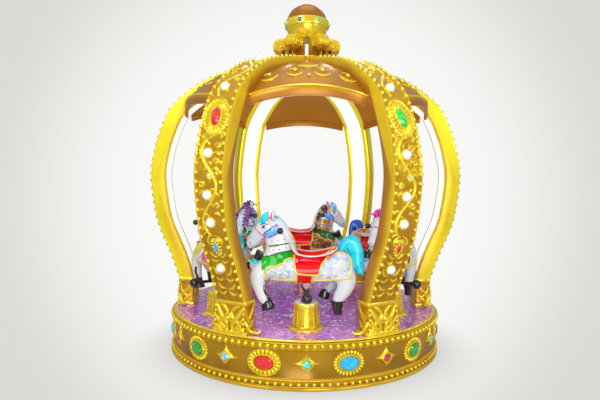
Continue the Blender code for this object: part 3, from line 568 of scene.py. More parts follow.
def makeDrum():
    look = drumLook
    profile = [(0.0, 0.0), (1.196, 0.0), (1.2, 0.004), (1.2, 0.018)]
    profile += roundCorner((1.196, 0.018), 0.004, 20, 90, 3) + [(1.188, 0.0235), (1.185, 0.03), (1.185, 0.058)]
    profile += roundCorner((1.183, 0.0705), 0.0065, -80, 90, 6)
    profile += [(1.176, 0.0785), (look["wallRadius"], 0.083), (look["wallRadius"], 0.276), (1.175, 0.281),
                (1.18, 0.284), (1.181, 0.329)]
    profile += roundCorner((1.184, 0.332), 0.005, -60, 90, 4) + [(1.16, 0.337), (1.16, 0.3), (0.0, 0.3)]
    profile = np.array(profile)
    # painted light down the drum's profile: painted highlights on the rounded mouldings and lip, painted shade in the
    # recessed bands
    levels = np.interp(profile[:, 1], [0, 0.02, 0.027, 0.055, 0.062, 0.075, 0.083, 0.1, 0.26, 0.276, 0.29, 0.325,
                                       0.335],
                       [0.8, 1.0, 0.1, 0.1, 0.6, 1.0, 0.2, 0.62, 0.62, 0.35, 0.25, 0.25, 0.9])
    parts = MeshParts()
    body = latheShape(profile, look["sides"])
    parts.add(body, 0, np.append(np.repeat(levels, look["sides"]), [0.5, 0.5]))
    for row in (look["upperBeads"], look["lowerBeads"]):
        bead = ballShape(row["radius"], 10, 6)
        shade = np.tile(np.interp(bead[0][:, 2] / row["radius"], [-1, 0.2, 1], [0.3, 0.75, 1.0]), row["count"])
        parts.add(ringOfCopies(bead, row["count"], row["ring"], row["height"]), 1, shade)
    turns = np.radians(np.linspace(200, 340, 8))
    scallop = np.stack([0.024 * np.cos(turns), 0.024 * np.sin(turns), np.zeros(8)], -1)
    scallop = sweepShape(scallop, 0.0042, 0.006, (0, 0, 1), 6)
    parts.add(ringOfCopies(scallop, look["upperBeads"]["count"], 1.181, 0.3125), 1, 0.85)
    mesh = parts.mesh("drumMesh", [wallGold, gold], keep=0.65)
    showPiece("drumShell", mesh, "base", replaced=["drum"])

    colours = sorted(gems)
    stones, work = MeshParts(), MeshParts()
    height = look["settingHeight"]
    for azimuth, colour in look["starColours"].items():
        rows = [(starPlate(0.1, 0.112, 0.07, 0.02), 0.8), (hoopShape(0.044, 0.044, 0.0055, 1.25, lift=0.016), 1.0),
                (ovalPlate(0.042, 0.042, 0.014), 0.35)]
        for shape, relief in rows:
            work.add(bendToWall(shape, look["wallRadius"], height + 0.004, azimuth), 0, relief)
        gem = gemShape(0.031, 0.031, 0.016, 10, 0.014)
        stones.add(bendToWall(gem, look["wallRadius"], height + 0.004, azimuth), colours.index(colour))
    for azimuth, colour in look["ovalColours"].items():
        wedge = colour == "red"
        count, length, width = (20, 0.048, 0.03) if wedge else (24, 0.036, 0.024)
        rows = [(ovalPlate(0.122, 0.094, 0.006), 0.2), (petalRing(0.102, 0.078, count, length, width, 0.014, 0.1),
                                                        0.9),
                (hoopShape(0.079, 0.057, 0.0055, lift=0.01), 1.0), (ovalPlate(0.076, 0.054, 0.01), 0.5),
                (hoopShape(0.086, 0.064, 0.003, lift=0.006), 0.45)]
        if wedge:
            rows.append((hoopShape(0.122, 0.095, 0.005, lift=0.002), 0.9))
        for shape, relief in rows:
            work.add(bendToWall(shape, look["wallRadius"], height, azimuth), 0, relief)
        gem = gemShape(0.072, 0.05, 0.02, 18, 0.009)
        stones.add(bendToWall(gem, look["wallRadius"], height, azimuth), colours.index(colour))
    showPiece("drumSettings", work.mesh("drumSettingsMesh", [gold], keep=0.65), "base")
    showPiece("drumStones", stones.mesh("drumStonesMesh", [gems[name] for name in colours], 20), "base")


def makeDeck():
    disc = latheShape([(0, 0.3103), (1.15, 0.3103), (1.15, 0.35), (1.1, 0.35), (0.7, 0.35), (0.3, 0.35),
                       (0.0, 0.35)], 160)
    showPiece("deckSheet", MeshParts().add(disc).mesh("deckMesh", [deckCover]), "turntable",
              replaced=["deck"])
    profile = [(1.1503, 0.3425), (1.173, 0.3425)] + roundCorner((1.174, 0.3465), 0.004, -90, 90, 6)
    profile += [(1.16, 0.351), (1.158, 0.3535), (1.154, 0.3535), (1.1503, 0.351)]
    showPiece("deckRing", MeshParts().add(ringShape(profile, 240)).mesh("deckRingMesh", [brightGold]), "turntable",
              replaced=["deck_edge_ring"])


makeDrum()
makeDeck()
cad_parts["slew_bearing"].data.materials.clear()
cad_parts["slew_bearing"].data.materials.append(steel)
print("drum and deck ready")


# Ribs: (across, along, out) on the outer face; along runs from the deck to the cap

ribLook = {
    "outline": ((1.122, deckTop), (1.126, 0.56), (1.192, 0.78), (1.312, 1.07), (1.362, 1.32),
                (1.378, 1.54), (1.345, 1.74), (1.287, 1.93), (1.2, 2.11), (1.06, 2.245),
                (0.85, 2.378), (0.6, 2.462), (0.2703, 2.53)),
    "halfWidth": 0.13, "depth": 0.12, "columns": 47, "rows": 420,
    "beadStart": 0.262, "beadEnd": 2.8, "beadPitch": 0.066, "beadRadius": 0.0165, "beadAcross": 0.111,
    "pearlRadius": 0.034, "pearls": ((-0.012, 0.509), (-0.006, 0.868), (-0.012, 1.062), (-0.012, 1.352),
                                     (-0.01, 1.872), (0.0, 2.36)),
    "crystals": ((0.012, 1.195), (0.0, 2.16), (0.0, 2.56)),
    "ovalAlong": 1.62, "marquiseAlong": 0.682,
    "vineWidth": 0.01, "vineHeight": 0.011,
    # curls round the small stone and under it: points, how many along the path, half width
    "crescents": ((((0.004, 0.775), (0.04, 0.762), (0.062, 0.725), (0.05, 0.695)), 20, 0.009),
                  (((0.004, 0.75), (0.028, 0.742), (0.04, 0.716)), 14, 0.006),
                  (((0.006, 0.6), (0.04, 0.608), (0.07, 0.64)), 16, 0.009),
                  (((0.01, 0.575), (0.045, 0.56), (0.075, 0.58)), 16, 0.008),
                  (((0.02, 0.455), (0.06, 0.465), (0.08, 0.52)), 16, 0.009),
                  (((0.012, 0.43), (0.045, 0.405), (0.08, 0.425)), 16, 0.009),
                  (((0.01, 0.34), (0.05, 0.345), (0.078, 0.385)), 16, 0.01),
                  (((0.01, 0.318), (0.045, 0.292), (0.08, 0.3)), 16, 0.01)),
}
ribCurve = smoothPath(ribLook["outline"], 600)
ribLengths = np.concatenate([[0], np.cumsum(np.linalg.norm(np.diff(ribCurve, axis=0), axis=1))])
ribSlope = np.gradient(ribCurve, axis=0)
ribSlope /= np.linalg.norm(ribSlope, axis=1)[:, None]


def onRib(across, along, out=0.0):  # a point of the front-facing rib's outer face
    across, along, out = np.broadcast_arrays(*[np.asarray(value, float) for value in (across, along, out)])
    radius, height, rise, run = [np.interp(along, ribLengths, column) for column in
                                 (ribCurve[:, 0], ribCurve[:, 1], ribSlope[:, 1], ribSlope[:, 0])]
    return np.stack([across, -(radius + rise * out), height - run * out], -1)


def ribAxes(along):  # across, along and outward directions at a place on the rib
    rise, run = np.interp(along, ribLengths, ribSlope[:, 1]), np.interp(along, ribLengths, ribSlope[:, 0])
    return np.array([1.0, 0, 0]), np.array([0, -run, rise]), np.array([0, -rise, -run])


def toRib(shape, across, along, spin=0.0):  # lays a flat shape on the rib's outer face
    points, groups = shape
    turn = radians(spin)
    x = points[:, 0] * cos(turn) - points[:, 1] * sin(turn)
    y = points[:, 0] * sin(turn) + points[:, 1] * cos(turn)
    return onRib(across + x, along + y, points[:, 2]), groups


def curl(centre, size, start, turns, grow=0.25, steps=26):  # a spiral from its eye outwards
    angle = np.linspace(0, turns * tau, steps)
    reach = size * (grow + (1 - grow) * np.linspace(0, 1, steps))
    angle = angle + radians(start)
    return np.stack([centre[0] + reach * np.cos(angle), centre[1] + reach * np.sin(angle)], -1)


def ribVines():  # lists of (path, half widths, heights) on the outer face
    width, height = ribLook["vineWidth"], ribLook["vineHeight"]
    lines = []

    def line(points, count=40, wide=width, high=height, power=0.35):
        lines.append((smoothPath(points, count), wide * np.maximum(taper(count, power), 0.12),
                      high * np.maximum(taper(count, power), 0.2)))

    along = np.linspace(0.78, 1.46, 70)  # the long S that winds between the pearls
    lines.append((np.stack([0.07 * np.sin((along - 1.12) * tau / 0.5 + pi / 2) - 0.004, along], -1),
                  np.full(70, width), np.full(70, height)))
    line([(0.046, 1.505), (0.0, 1.47), (-0.055, 1.445), (-0.088, 1.39), (-0.08, 1.32)], 30)
    for side in (-1, 1):  # leaf curls on the bare side of each bend
        line([(side * 0.02, 1.475), (side * 0.055, 1.49), (side * 0.085, 1.475), (side * 0.07, 1.455)], 18, 0.007)
    for start, side in ((1.29, 1), (0.985, 1), (1.13, -1), (0.84, -1), (1.4, 1)):
        lines.append((curl((side * 0.062, start), 0.024, 200 if side > 0 else -20, side * 0.9),
                      np.linspace(0.004, 0.008, 26), np.full(26, 0.008)))
        line([(side * 0.03, start - 0.05), (side * 0.06, start - 0.045), (side * 0.088, start - 0.065)], 14, 0.008)
    for index, start in enumerate(np.arange(0.8, 1.46, 0.036)):  # leaflets off the vine
        root = 0.07 * sin((start - 1.12) * tau / 0.5 + pi / 2) - 0.004
        side = 1 if index % 2 else -1
        if abs(root + side * 0.046) < 0.098:
            line([(root, start), (root + side * 0.018, start + 0.017), (root + side * 0.04, start + 0.014),
                  (root + side * 0.046, start - 0.004)], 14, 0.007, 0.008)
    for side in (-1, 1):
        for points, count, wide in ribLook["crescents"]:
            line([(side * x, y) for x, y in points], count, wide)
    along = np.linspace(1.8, 2.8, 90)  # the vine on the crown's shoulder and top
    lines.append((np.stack([0.066 * np.sin((along - 1.872) * tau / 0.49 - pi / 2), along], -1),
                  np.full(90, width), np.full(90, height)))
    for start in (1.95, 2.07, 2.24, 2.47, 2.62, 2.74):
        side = 1 if sin((start - 1.872) * tau / 0.49 - pi / 2) < 0 else -1
        lines.append((curl((side * 0.052, start), 0.026, 200 if side > 0 else -20, side * 0.9),
                      np.linspace(0.005, 0.009, 26), np.full(26, 0.009)))
        line([(side * 0.015, start + 0.05), (side * 0.05, start + 0.058), (side * 0.086, start + 0.035)], 16, 0.009)
    return lines


def carveRib():  # the height of the relief over a grid on the outer face
    look = ribLook
    reach = look["halfWidth"] - 0.004
    acrosses = np.linspace(-reach, reach, look["columns"])
    alongs = np.linspace(0, ribLengths[-1], look["rows"])
    across, along = np.meshgrid(acrosses, alongs)
    field = 0.0012 * np.cos(along * 60) * np.cos(across * 90)

    def raiseAt(x, y, half, high):
        low, top = np.searchsorted(alongs, (y - half, y + half))
        left, right = np.searchsorted(acrosses, (x - half, x + half))
        block = (slice(low, top + 1), slice(left, right + 1))
        gap = ((across[block] - x) ** 2 + (along[block] - y) ** 2) / half ** 2
        field[block] = np.maximum(field[block], high * np.sqrt(np.maximum(1 - gap, 0)))

    for path, widths, heights in ribVines():
        dense = np.linspace(0, 1, len(path) * 4)
        shares = np.linspace(0, 1, len(path))
        for x, y, half, high in zip(*[np.interp(dense, shares, column) for column in
                                      (path[:, 0], path[:, 1], widths, heights)]):
            raiseAt(x, y, max(half, 0.006), high)
    # the sunburst round the large oval: slanted wedges inside a raised hoop
    x, y = across, along - look["ovalAlong"]
    lean = radians(-9)
    u, v = x * cos(lean) - y * sin(lean), x * sin(lean) + y * cos(lean)
    reachOut = np.sqrt((u / 0.104) ** 2 + (v / 0.142) ** 2)
    turn = np.arctan2(v / 0.142, u / 0.104)
    wedges = 0.5 + 0.5 * np.cos(turn * 22)
    inside = (reachOut < 0.93) & (reachOut > 0.4)
    swell = np.maximum(np.sin((reachOut - 0.4) / 0.53 * pi), 0) ** 0.4
    field = np.where(reachOut < 1.02, np.where(inside, 0.002 + 0.01 * wedges * swell, 0.002), field)
    hoop = np.sqrt(np.maximum(1 - ((reachOut - 0.985) / 0.062) ** 2, 0)) * 0.012
    field = np.maximum(field, hoop)
    edge = np.sqrt(np.maximum(1 - ((np.abs(across) - 0.1235) / 0.0055) ** 2, 0)) * 0.005
    field = np.maximum(field, edge)
    return across, along, field


def makeRibMeshes():
    look = ribLook
    across, along, field = carveRib()
    half, depth = look["halfWidth"], look["depth"]
    back = [(half - 0.001, -0.005), (half, -0.012), (half, -0.045), (half, -0.08), (half, -depth + 0.014),
            (half - 0.003, -depth + 0.004),
            (half - 0.01, -depth), (0.084, -depth), (0.08, -depth + 0.004), (-0.08, -depth + 0.004), (-0.084, -depth)]
    back += [(-x, y) for x, y in reversed(back[:7])]
    rows = along.shape[0]
    backAcross = np.repeat([[x for x, _ in back]], rows, 0)
    backOut = np.repeat([[y for _, y in back]], rows, 0)
    backAlong = np.repeat(along[:, :1], len(back), 1)
    rings = onRib(np.concatenate([across, backAcross], 1), np.concatenate([along, backAlong], 1),
                  np.concatenate([field, backOut], 1))
    points, (quads, ends) = closedRings(rings, flip=True)
    smooth = quads.min(1) % rings.shape[1] >= across.shape[1] - 1
    shade = np.clip(0.52 + field / 0.01 * 0.6, 0, 1)
    shade -= np.interp(along, [0.0, 0.35, 0.8, 1.1], [0.18, 0.24, 0.18, 0.0]) * (field < 0.004)
    # painted shade on the side faces: light at the front edge, darker towards the back
    side = np.interp(-backOut, [0, 0.015, 0.05, 0.1, 0.118, 0.12], [1.0, 0.75, 0.42, 0.18, 0.3, 0.8])
    relief = np.concatenate([shade, side], 1)
    parts = MeshParts()
    relief = np.append(relief.ravel(), [0.3, 0.3])
    parts.add((points, [quads[~smooth], ends]), 0, relief)
    parts.add((points, [quads[smooth]]), 2, relief)
    count = int((look["beadEnd"] - look["beadStart"]) / look["beadPitch"])
    bead = ballShape(look["beadRadius"], 10, 6)
    shadeBead = np.interp(bead[0][:, 2] / look["beadRadius"], [-0.6, 0.2, 1], [0.2, 0.8, 1.0])
    for index in range(count):
        place = look["beadStart"] + (index + 0.5) * look["beadPitch"]
        x, y, z = ribAxes(place)
        for sign in (-1, 1):
            parts.add(copyShape(bead, onRib(sign * look["beadAcross"], place, 0.0035), x, y, z), 1, shadeBead)
    for place in look["pearls"]:
        parts.add(toRib(hoopShape(0.037, 0.037, 0.0055, lift=0.003, steps=28), *place), 1)
    for place in look["crystals"]:
        parts.add(toRib(petalRing(0.02, 0.02, 8, 0.02, 0.014, 0.01), *place), 1, 0.9)
    oval = look["ovalAlong"]
    parts.add(toRib(hoopShape(0.044, 0.077, 0.006, lift=0.005), 0, oval, 9), 1)
    small = look["marquiseAlong"]
    parts.add(toRib(hoopShape(0.022, 0.048, 0.005, 1.5, lift=0.004), 0, small, 8), 1)
    parts.add(toRib(petalRing(0.034, 0.062, 14, 0.024, 0.016, 0.009), 0, small, 8), 1, 0.85)
    ribMesh = parts.mesh("ribMesh", [gold, brightGold, litSideGold], 50, 0.56)

    stones = []
    for oval, marquise in (("brightGreen", "red"), ("red", "blue"), ("green", "red")):
        gemParts = MeshParts()
        ball = ballShape((look["pearlRadius"],) * 3, 20, 9, 90, -20)
        for x, y in look["pearls"]:
            axes = ribAxes(y)
            gemParts.add(copyShape(ball, onRib(x, y, 0.006), *axes), 0)
        for x, y in look["crystals"]:
            gemParts.add(toRib(gemShape(0.015, 0.015, 0.012, 8, 0.004), x, y), 1)
        gemParts.add(toRib(gemShape(0.04, 0.073, 0.02, 16, 0.003), 0, look["ovalAlong"], 9), 2)
        gemParts.add(toRib(gemShape(0.019, 0.045, 0.014, 8, 0.003), 0, look["marquiseAlong"], 8), 3)
        stones.append(gemParts.mesh(f"ribStones_{oval}", [pearl, gems["crystal"], gems[oval], gems[marquise]], 25))
    return ribMesh, stones


footLook = {
    "sections": ((0.0, 0.998, 1.146, 0.15), (0.008, 0.996, 1.148, 0.152), (0.018, 1.0, 1.144, 0.148),
                 (0.028, 1.008, 1.13, 0.139), (0.06, 1.006, 1.134, 0.137), (0.11, 1.004, 1.138, 0.138),
                 (0.18, 1.008, 1.128, 0.135), (0.2, 1.008, 1.126, 0.136), (0.215, 1.003, 1.134, 0.141),
                 (0.228, 1.002, 1.136, 0.143), (0.24, 1.006, 1.13, 0.138)),
    "corner": 0.01,
    # points, half width and thickness: (across, height) in front, (share inwards, height) on the sides
    "frontLeaves": ((((0.02, 0.01), (0.03, 0.075), (0.08, 0.135), (0.128, 0.215)), 0.02, 0.016),
                    (((0.012, 0.02), (0.07, 0.05), (0.12, 0.115)), 0.018, 0.014),
                    (((0.11, 0.02), (0.085, 0.075), (0.04, 0.11), (0.012, 0.165)), 0.017, 0.015),
                    (((0.01, 0.15), (0.05, 0.19), (0.09, 0.205)), 0.014, 0.012),
                    (((0.06, 0.012), (0.1, 0.032), (0.14, 0.018)), 0.016, 0.014)),
    "sideLeaves": ((((0.05, 0.02), (0.3, 0.09), (0.75, 0.16), (0.95, 0.22)), 0.016, 0.012),
                   (((0.1, 0.015), (0.45, 0.045), (0.9, 0.1)), 0.015, 0.012),
                   (((0.85, 0.02), (0.6, 0.07), (0.2, 0.13), (0.08, 0.2)), 0.014, 0.01)),
    "claw": ((0.118, -1.128, 0.47), (0.146, -1.116, 0.42), (0.158, -1.102, 0.382), (0.186, -1.082, 0.364),
             (0.214, -1.066, 0.366), (0.222, -1.058, 0.378)),
    "clawSizes": ((0.008, 0.02, 0.017, 0.008), (0.006, 0.014, 0.012, 0.007)),
}


def footPoint(across, height, out=0.0):  # on the foot cover's front face; height is over the deck
    sections = np.array(footLook["sections"])
    front = np.interp(height, sections[:, 0], sections[:, 2])
    return np.stack([np.asarray(across, float), -(front + np.asarray(out, float)),
                     deckTop + np.asarray(height, float)], -1)


def footSidePoint(side, inward, height, out=0.0):  # on a side face; inward is the share from front to back
    sections = np.array(footLook["sections"])
    inner, outer, half = [np.interp(height, sections[:, 0], sections[:, k]) for k in (1, 2, 3)]
    radius = outer + (inner - outer) * np.asarray(inward, float)
    return np.stack([side * (half + np.asarray(out, float)), -radius, deckTop + np.asarray(height, float)], -1)


def leafOn(mapping, points, width, thick, normal, count=22, power=0.55):  # a tapered leaf or stem on a face
    path = smoothPath(points, count)
    shape = taper(count, power)
    return sweepShape(mapping(path[:, 0], path[:, 1]), width * np.maximum(shape, 0.08),
                      thick * np.maximum(shape, 0.1), normal, 8)


def makeFootMesh():
    parts = MeshParts()
    corner = footLook["corner"]
    rings = []
    for height, inner, outer, half in footLook["sections"]:
        ring = []
        for signX, signR, start in ((1, 1, 0), (-1, 1, 90), (-1, -1, 180), (1, -1, 270)):
            centre = (signX * (half - corner), (outer if signR > 0 else inner) - signR * corner)
            ring += [(x, -r, deckTop + height) for x, r in roundCorner(centre, corner, start, start + 90, 3)]
        rings.append(ring)
    rings = np.array(rings)
    steps = np.array([row[0] for row in footLook["sections"]])
    shade = np.interp(steps, [0, 0.012, 0.028, 0.11, 0.2, 0.23], [0.9, 1.0, 0.3, 0.42, 0.4, 0.95])
    parts.add(closedRings(rings), 0, np.append(np.repeat(shade, rings.shape[1]), [0.3, 0.9]))
    front = lambda x, y: footPoint(x, y, 0.002)
    outwards = (0, -1, 0)
    for side in (-1, 1):
        for points, width, thick in footLook["frontLeaves"]:
            points = [(side * x, height) for x, height in points]
            parts.add(leafOn(front, points, width, thick, outwards), 1, 0.85)
        sideWay = lambda inward, height, side=side: footSidePoint(side, inward, height, 0.001)
        for points, width, thick in footLook["sideLeaves"]:
            parts.add(leafOn(sideWay, points, width, thick, (side, 0, 0)), 1, 0.7)
        # a claw that curls out over the deck
        claw = smoothPath([(side * x, y, z) for x, y, z in footLook["claw"]], 24)
        broad, deep = [np.interp(np.linspace(0, 1, 24), [0, 0.3, 0.7, 1], sizes) for sizes in footLook["clawSizes"]]
        parts.add(sweepShape(claw, broad, deep, (side * 0.5, 0, 1), 10), 1, 0.9)
    origin = footPoint(0.0, 0.118, 0.006)
    parts.add(copyShape(ballShape((0.03, 0.03, 0.014), 20, 6, 90, 0), origin, (1, 0, 0), (0, 0, 1), outwards), 1, 0.7)
    parts.add(copyShape(hoopShape(0.03, 0.03, 0.006, steps=24), origin, (1, 0, 0), (0, 0, 1), outwards), 1)
    parts.add(copyShape(ballShape(0.016, 12, 7), origin + [0, -0.012, 0], (1, 0, 0), (0, 0, 1), outwards), 1)
    bead = ballShape(0.012, 8, 5)
    for side in (-1, 1):
        for height in np.arange(0.045, 0.22, 0.036):
            parts.add(copyShape(bead, footPoint(side * 0.126, height, 0.002), (1, 0, 0), (0, 0, 1), outwards), 1)
    return parts.mesh("footMesh", [gold, gold], 45, 0.7)


def makeStripMesh():
    rows = 90
    along = np.linspace(0.272, 2.55, rows)
    keep = [place for place in along if 0.61 < np.interp(place, ribLengths, ribCurve[:, 1])
            and np.interp(place, ribLengths, ribCurve[:, 0]) > 0.4]
    section = [(-0.075, -0.1203), (-0.075, -0.125), (-0.066, -0.1275), (0.0, -0.129), (0.066, -0.1275),
               (0.075, -0.125), (0.075, -0.1203)]
    rings = np.array([[onRib(x, place, y) for x, y in section] for place in keep])
    return MeshParts().add(closedRings(rings), 0).mesh("lightStripMesh", [lightCover])


ribMesh, ribStoneMeshes = makeRibMeshes()
footMesh = makeFootMesh()
stripMesh = makeStripMesh()
stoneChoice = (0, 1, 2, 1, 2, 1)
frontRibMesh = ribMesh.copy()  # the two front ribs use the shaded copy of the side gilt: painted shade on their inner sides
frontRibMesh.name = "frontRibMesh"
frontRibMesh.materials[2] = shadedGold
for number in range(1, 7):
    azimuth = 30 + 60 * (number - 1)
    showPiece(f"ribShell_{number}", frontRibMesh if number in (1, 6) else ribMesh, "turntable",
              azimuth, replaced=[f"rib_{number}"])
    showPiece(f"ribFoot_{number}", footMesh, "turntable", azimuth)
    showPiece(f"ribStones_{number}", ribStoneMeshes[stoneChoice[number - 1]], "turntable", azimuth)
    showPiece(f"lightStrip_{number}", stripMesh, "turntable", azimuth,
              replaced=[f"rib_light_strip_{number}"])
print("ribs ready")


# Roof panels between the ribs

roofLook = {
    "outline": ((1.085, 2.15), (0.96, 2.268), (0.82, 2.35), (0.59, 2.43), (0.3135, 2.49)),
    "lip": (1.082, 2.08), "thickness": 0.03, "arch": 0.06, "columns": 36, "rows": 30,
}
roofCurve = smoothPath(roofLook["outline"], 200)


def onRoof(sideways, radius, out=0.0):  # a point of the front panel's top face, by its sideways place
    sideways, radius = np.asarray(sideways, float), np.asarray(radius, float)
    half = radius * np.sin(np.radians(30) - np.arcsin(ribGap / radius))
    span = roofLook["outline"][0][0] - roofLook["outline"][-1][0]
    drop = roofLook["arch"] * np.maximum(0, (radius - roofLook["outline"][-1][0]) / span)
    level = np.interp(-radius, -roofCurve[:, 0], roofCurve[:, 1])
    return np.stack([sideways, -np.sqrt(np.maximum(radius ** 2 - sideways ** 2, 0)),
                     level - drop * (sideways / half) ** 2 + out], -1)


def makeRoofMesh():
    look = roofLook
    shares = np.linspace(-1, 1, look["columns"] + 1)
    radii = np.linspace(look["outline"][0][0], look["outline"][-1][0], look["rows"])

    def row(radius, lower=0.0, cut=0.0):
        reach = radius - cut
        half = reach * sin(radians(30) - np.arcsin(ribGap / reach))
        points = onRoof(shares * half, np.full(len(shares), reach))
        points[:, 2] = onRoof(shares * half * 0.9999 * (radius / reach), np.full(len(shares), radius))[:, 2] - lower
        return points

    first = look["outline"][0][0]
    lipDrop = look["outline"][0][1] - look["lip"][1]
    rows = [row(first, lipDrop, 0.026), row(first, lipDrop, 0.008), row(first, lipDrop - 0.006),
            row(first, lipDrop * 0.5), row(first, 0.01), row(first, 0.003, 0.002)]
    rows += [row(radius) for radius in radii[1:]]
    rows += [row(radius, look["thickness"]) for radius in radii[:0:-1]]
    rows += [row(first, look["thickness"], look["thickness"])]
    points = np.array(rows)
    shade = np.full(points.shape[:2], 0.5)
    shade[4:6] = 0.85
    shade[0:3] = 0.35
    shape = gridShape(np.concatenate([points, points[:1]]))
    parts = MeshParts()
    parts.add(shape, 0, np.concatenate([shade, shade[:1]]).ravel())
    for column in (0, -1):  # the two side faces, as a strip from the top to the underside
        loop = points[:, column]
        top, under = loop[5:5 + len(radii) - 1], loop[5 + len(radii) - 1:][::-1][:len(radii) - 1]
        parts.add(gridShape(np.stack([top, under[:len(top)]], 1)), 0, 0.3)
        parts.add((loop[[0, 1, 2, 3, 4, 5, -1]], [np.arange(7)[None]]), 0, 0.3)
    half = first * sin(radians(30) - np.arcsin(ribGap / first))
    edge = onRoof(np.linspace(-half, half, 48), np.full(48, first - 0.004), 0.001)
    parts.add(sweepShape(edge, 0.0065, 0.0065, (0, 0, 1), 8), 1)

    def scroll(sideways, radius, reach, wide, start, end, steps=22):
        turns = np.radians(np.linspace(start, end, steps))
        path = onRoof(sideways + reach * np.cos(turns), radius - reach * 0.62 * np.sin(turns), 0.004)
        parts.add(sweepShape(path, wide * np.maximum(taper(steps, 0.5), 0.1),
                             wide * 0.8 * np.maximum(taper(steps, 0.5), 0.1), (0, -0.6, 0.8), 8), 1)

    for sideways, reach in ((-0.29, 0.062), (-0.1, 0.056), (0.1, 0.056), (0.29, 0.062)):
        scroll(sideways, 0.965, reach, 0.01, 175, 365)
        parts.add(copyShape(ballShape((0.017, 0.017, 0.014), 12, 7), onRoof(sideways, 0.945, 0.008)), 1)
        scroll(sideways - 0.01, 0.925, 0.03, 0.006, 20, 200, 16)
    scroll(0.0, 0.905, 0.062, 0.009, 20, 160)
    scroll(0.0, 0.87, 0.045, 0.007, 200, 340)
    for sideways in (-0.055, 0.055, -0.13, 0.13):
        scroll(sideways, 0.865, 0.022, 0.006, 0, 300, 18)
    parts.add(copyShape(ballShape((0.014, 0.014, 0.012), 12, 7), onRoof(0.0, 1.005, 0.008)), 1)
    return parts.mesh("roofMesh", [bronze, brightGold], 40)


roofMesh = makeRoofMesh()
for number in range(1, 7):
    showPiece(f"roofShell_{number}", roofMesh, "turntable", 60 * (number - 1),
              replaced=[f"roof_panel_{number}"])
print("roof ready")


# Finial: cap, six scroll brackets, ball and band

finialLook = {
    "capBottom": 2.41, "capTop": 2.546, "plugRadius": 0.27,
    "bracketWidth": 0.1, "innerRadius": 0.12, "rollRadius": 0.0675, "rollCentre": (0.235, 2.6805),
    "ballRadius": 0.187, "ballHeight": 2.882, "bandRadius": 0.2, "bandHalf": 0.034,
    "stones": ("deepBlue", "aqua", "aqua", "deepBlue", "aqua", "deepBlue", "aqua"), "firstStone": -19.0,
}


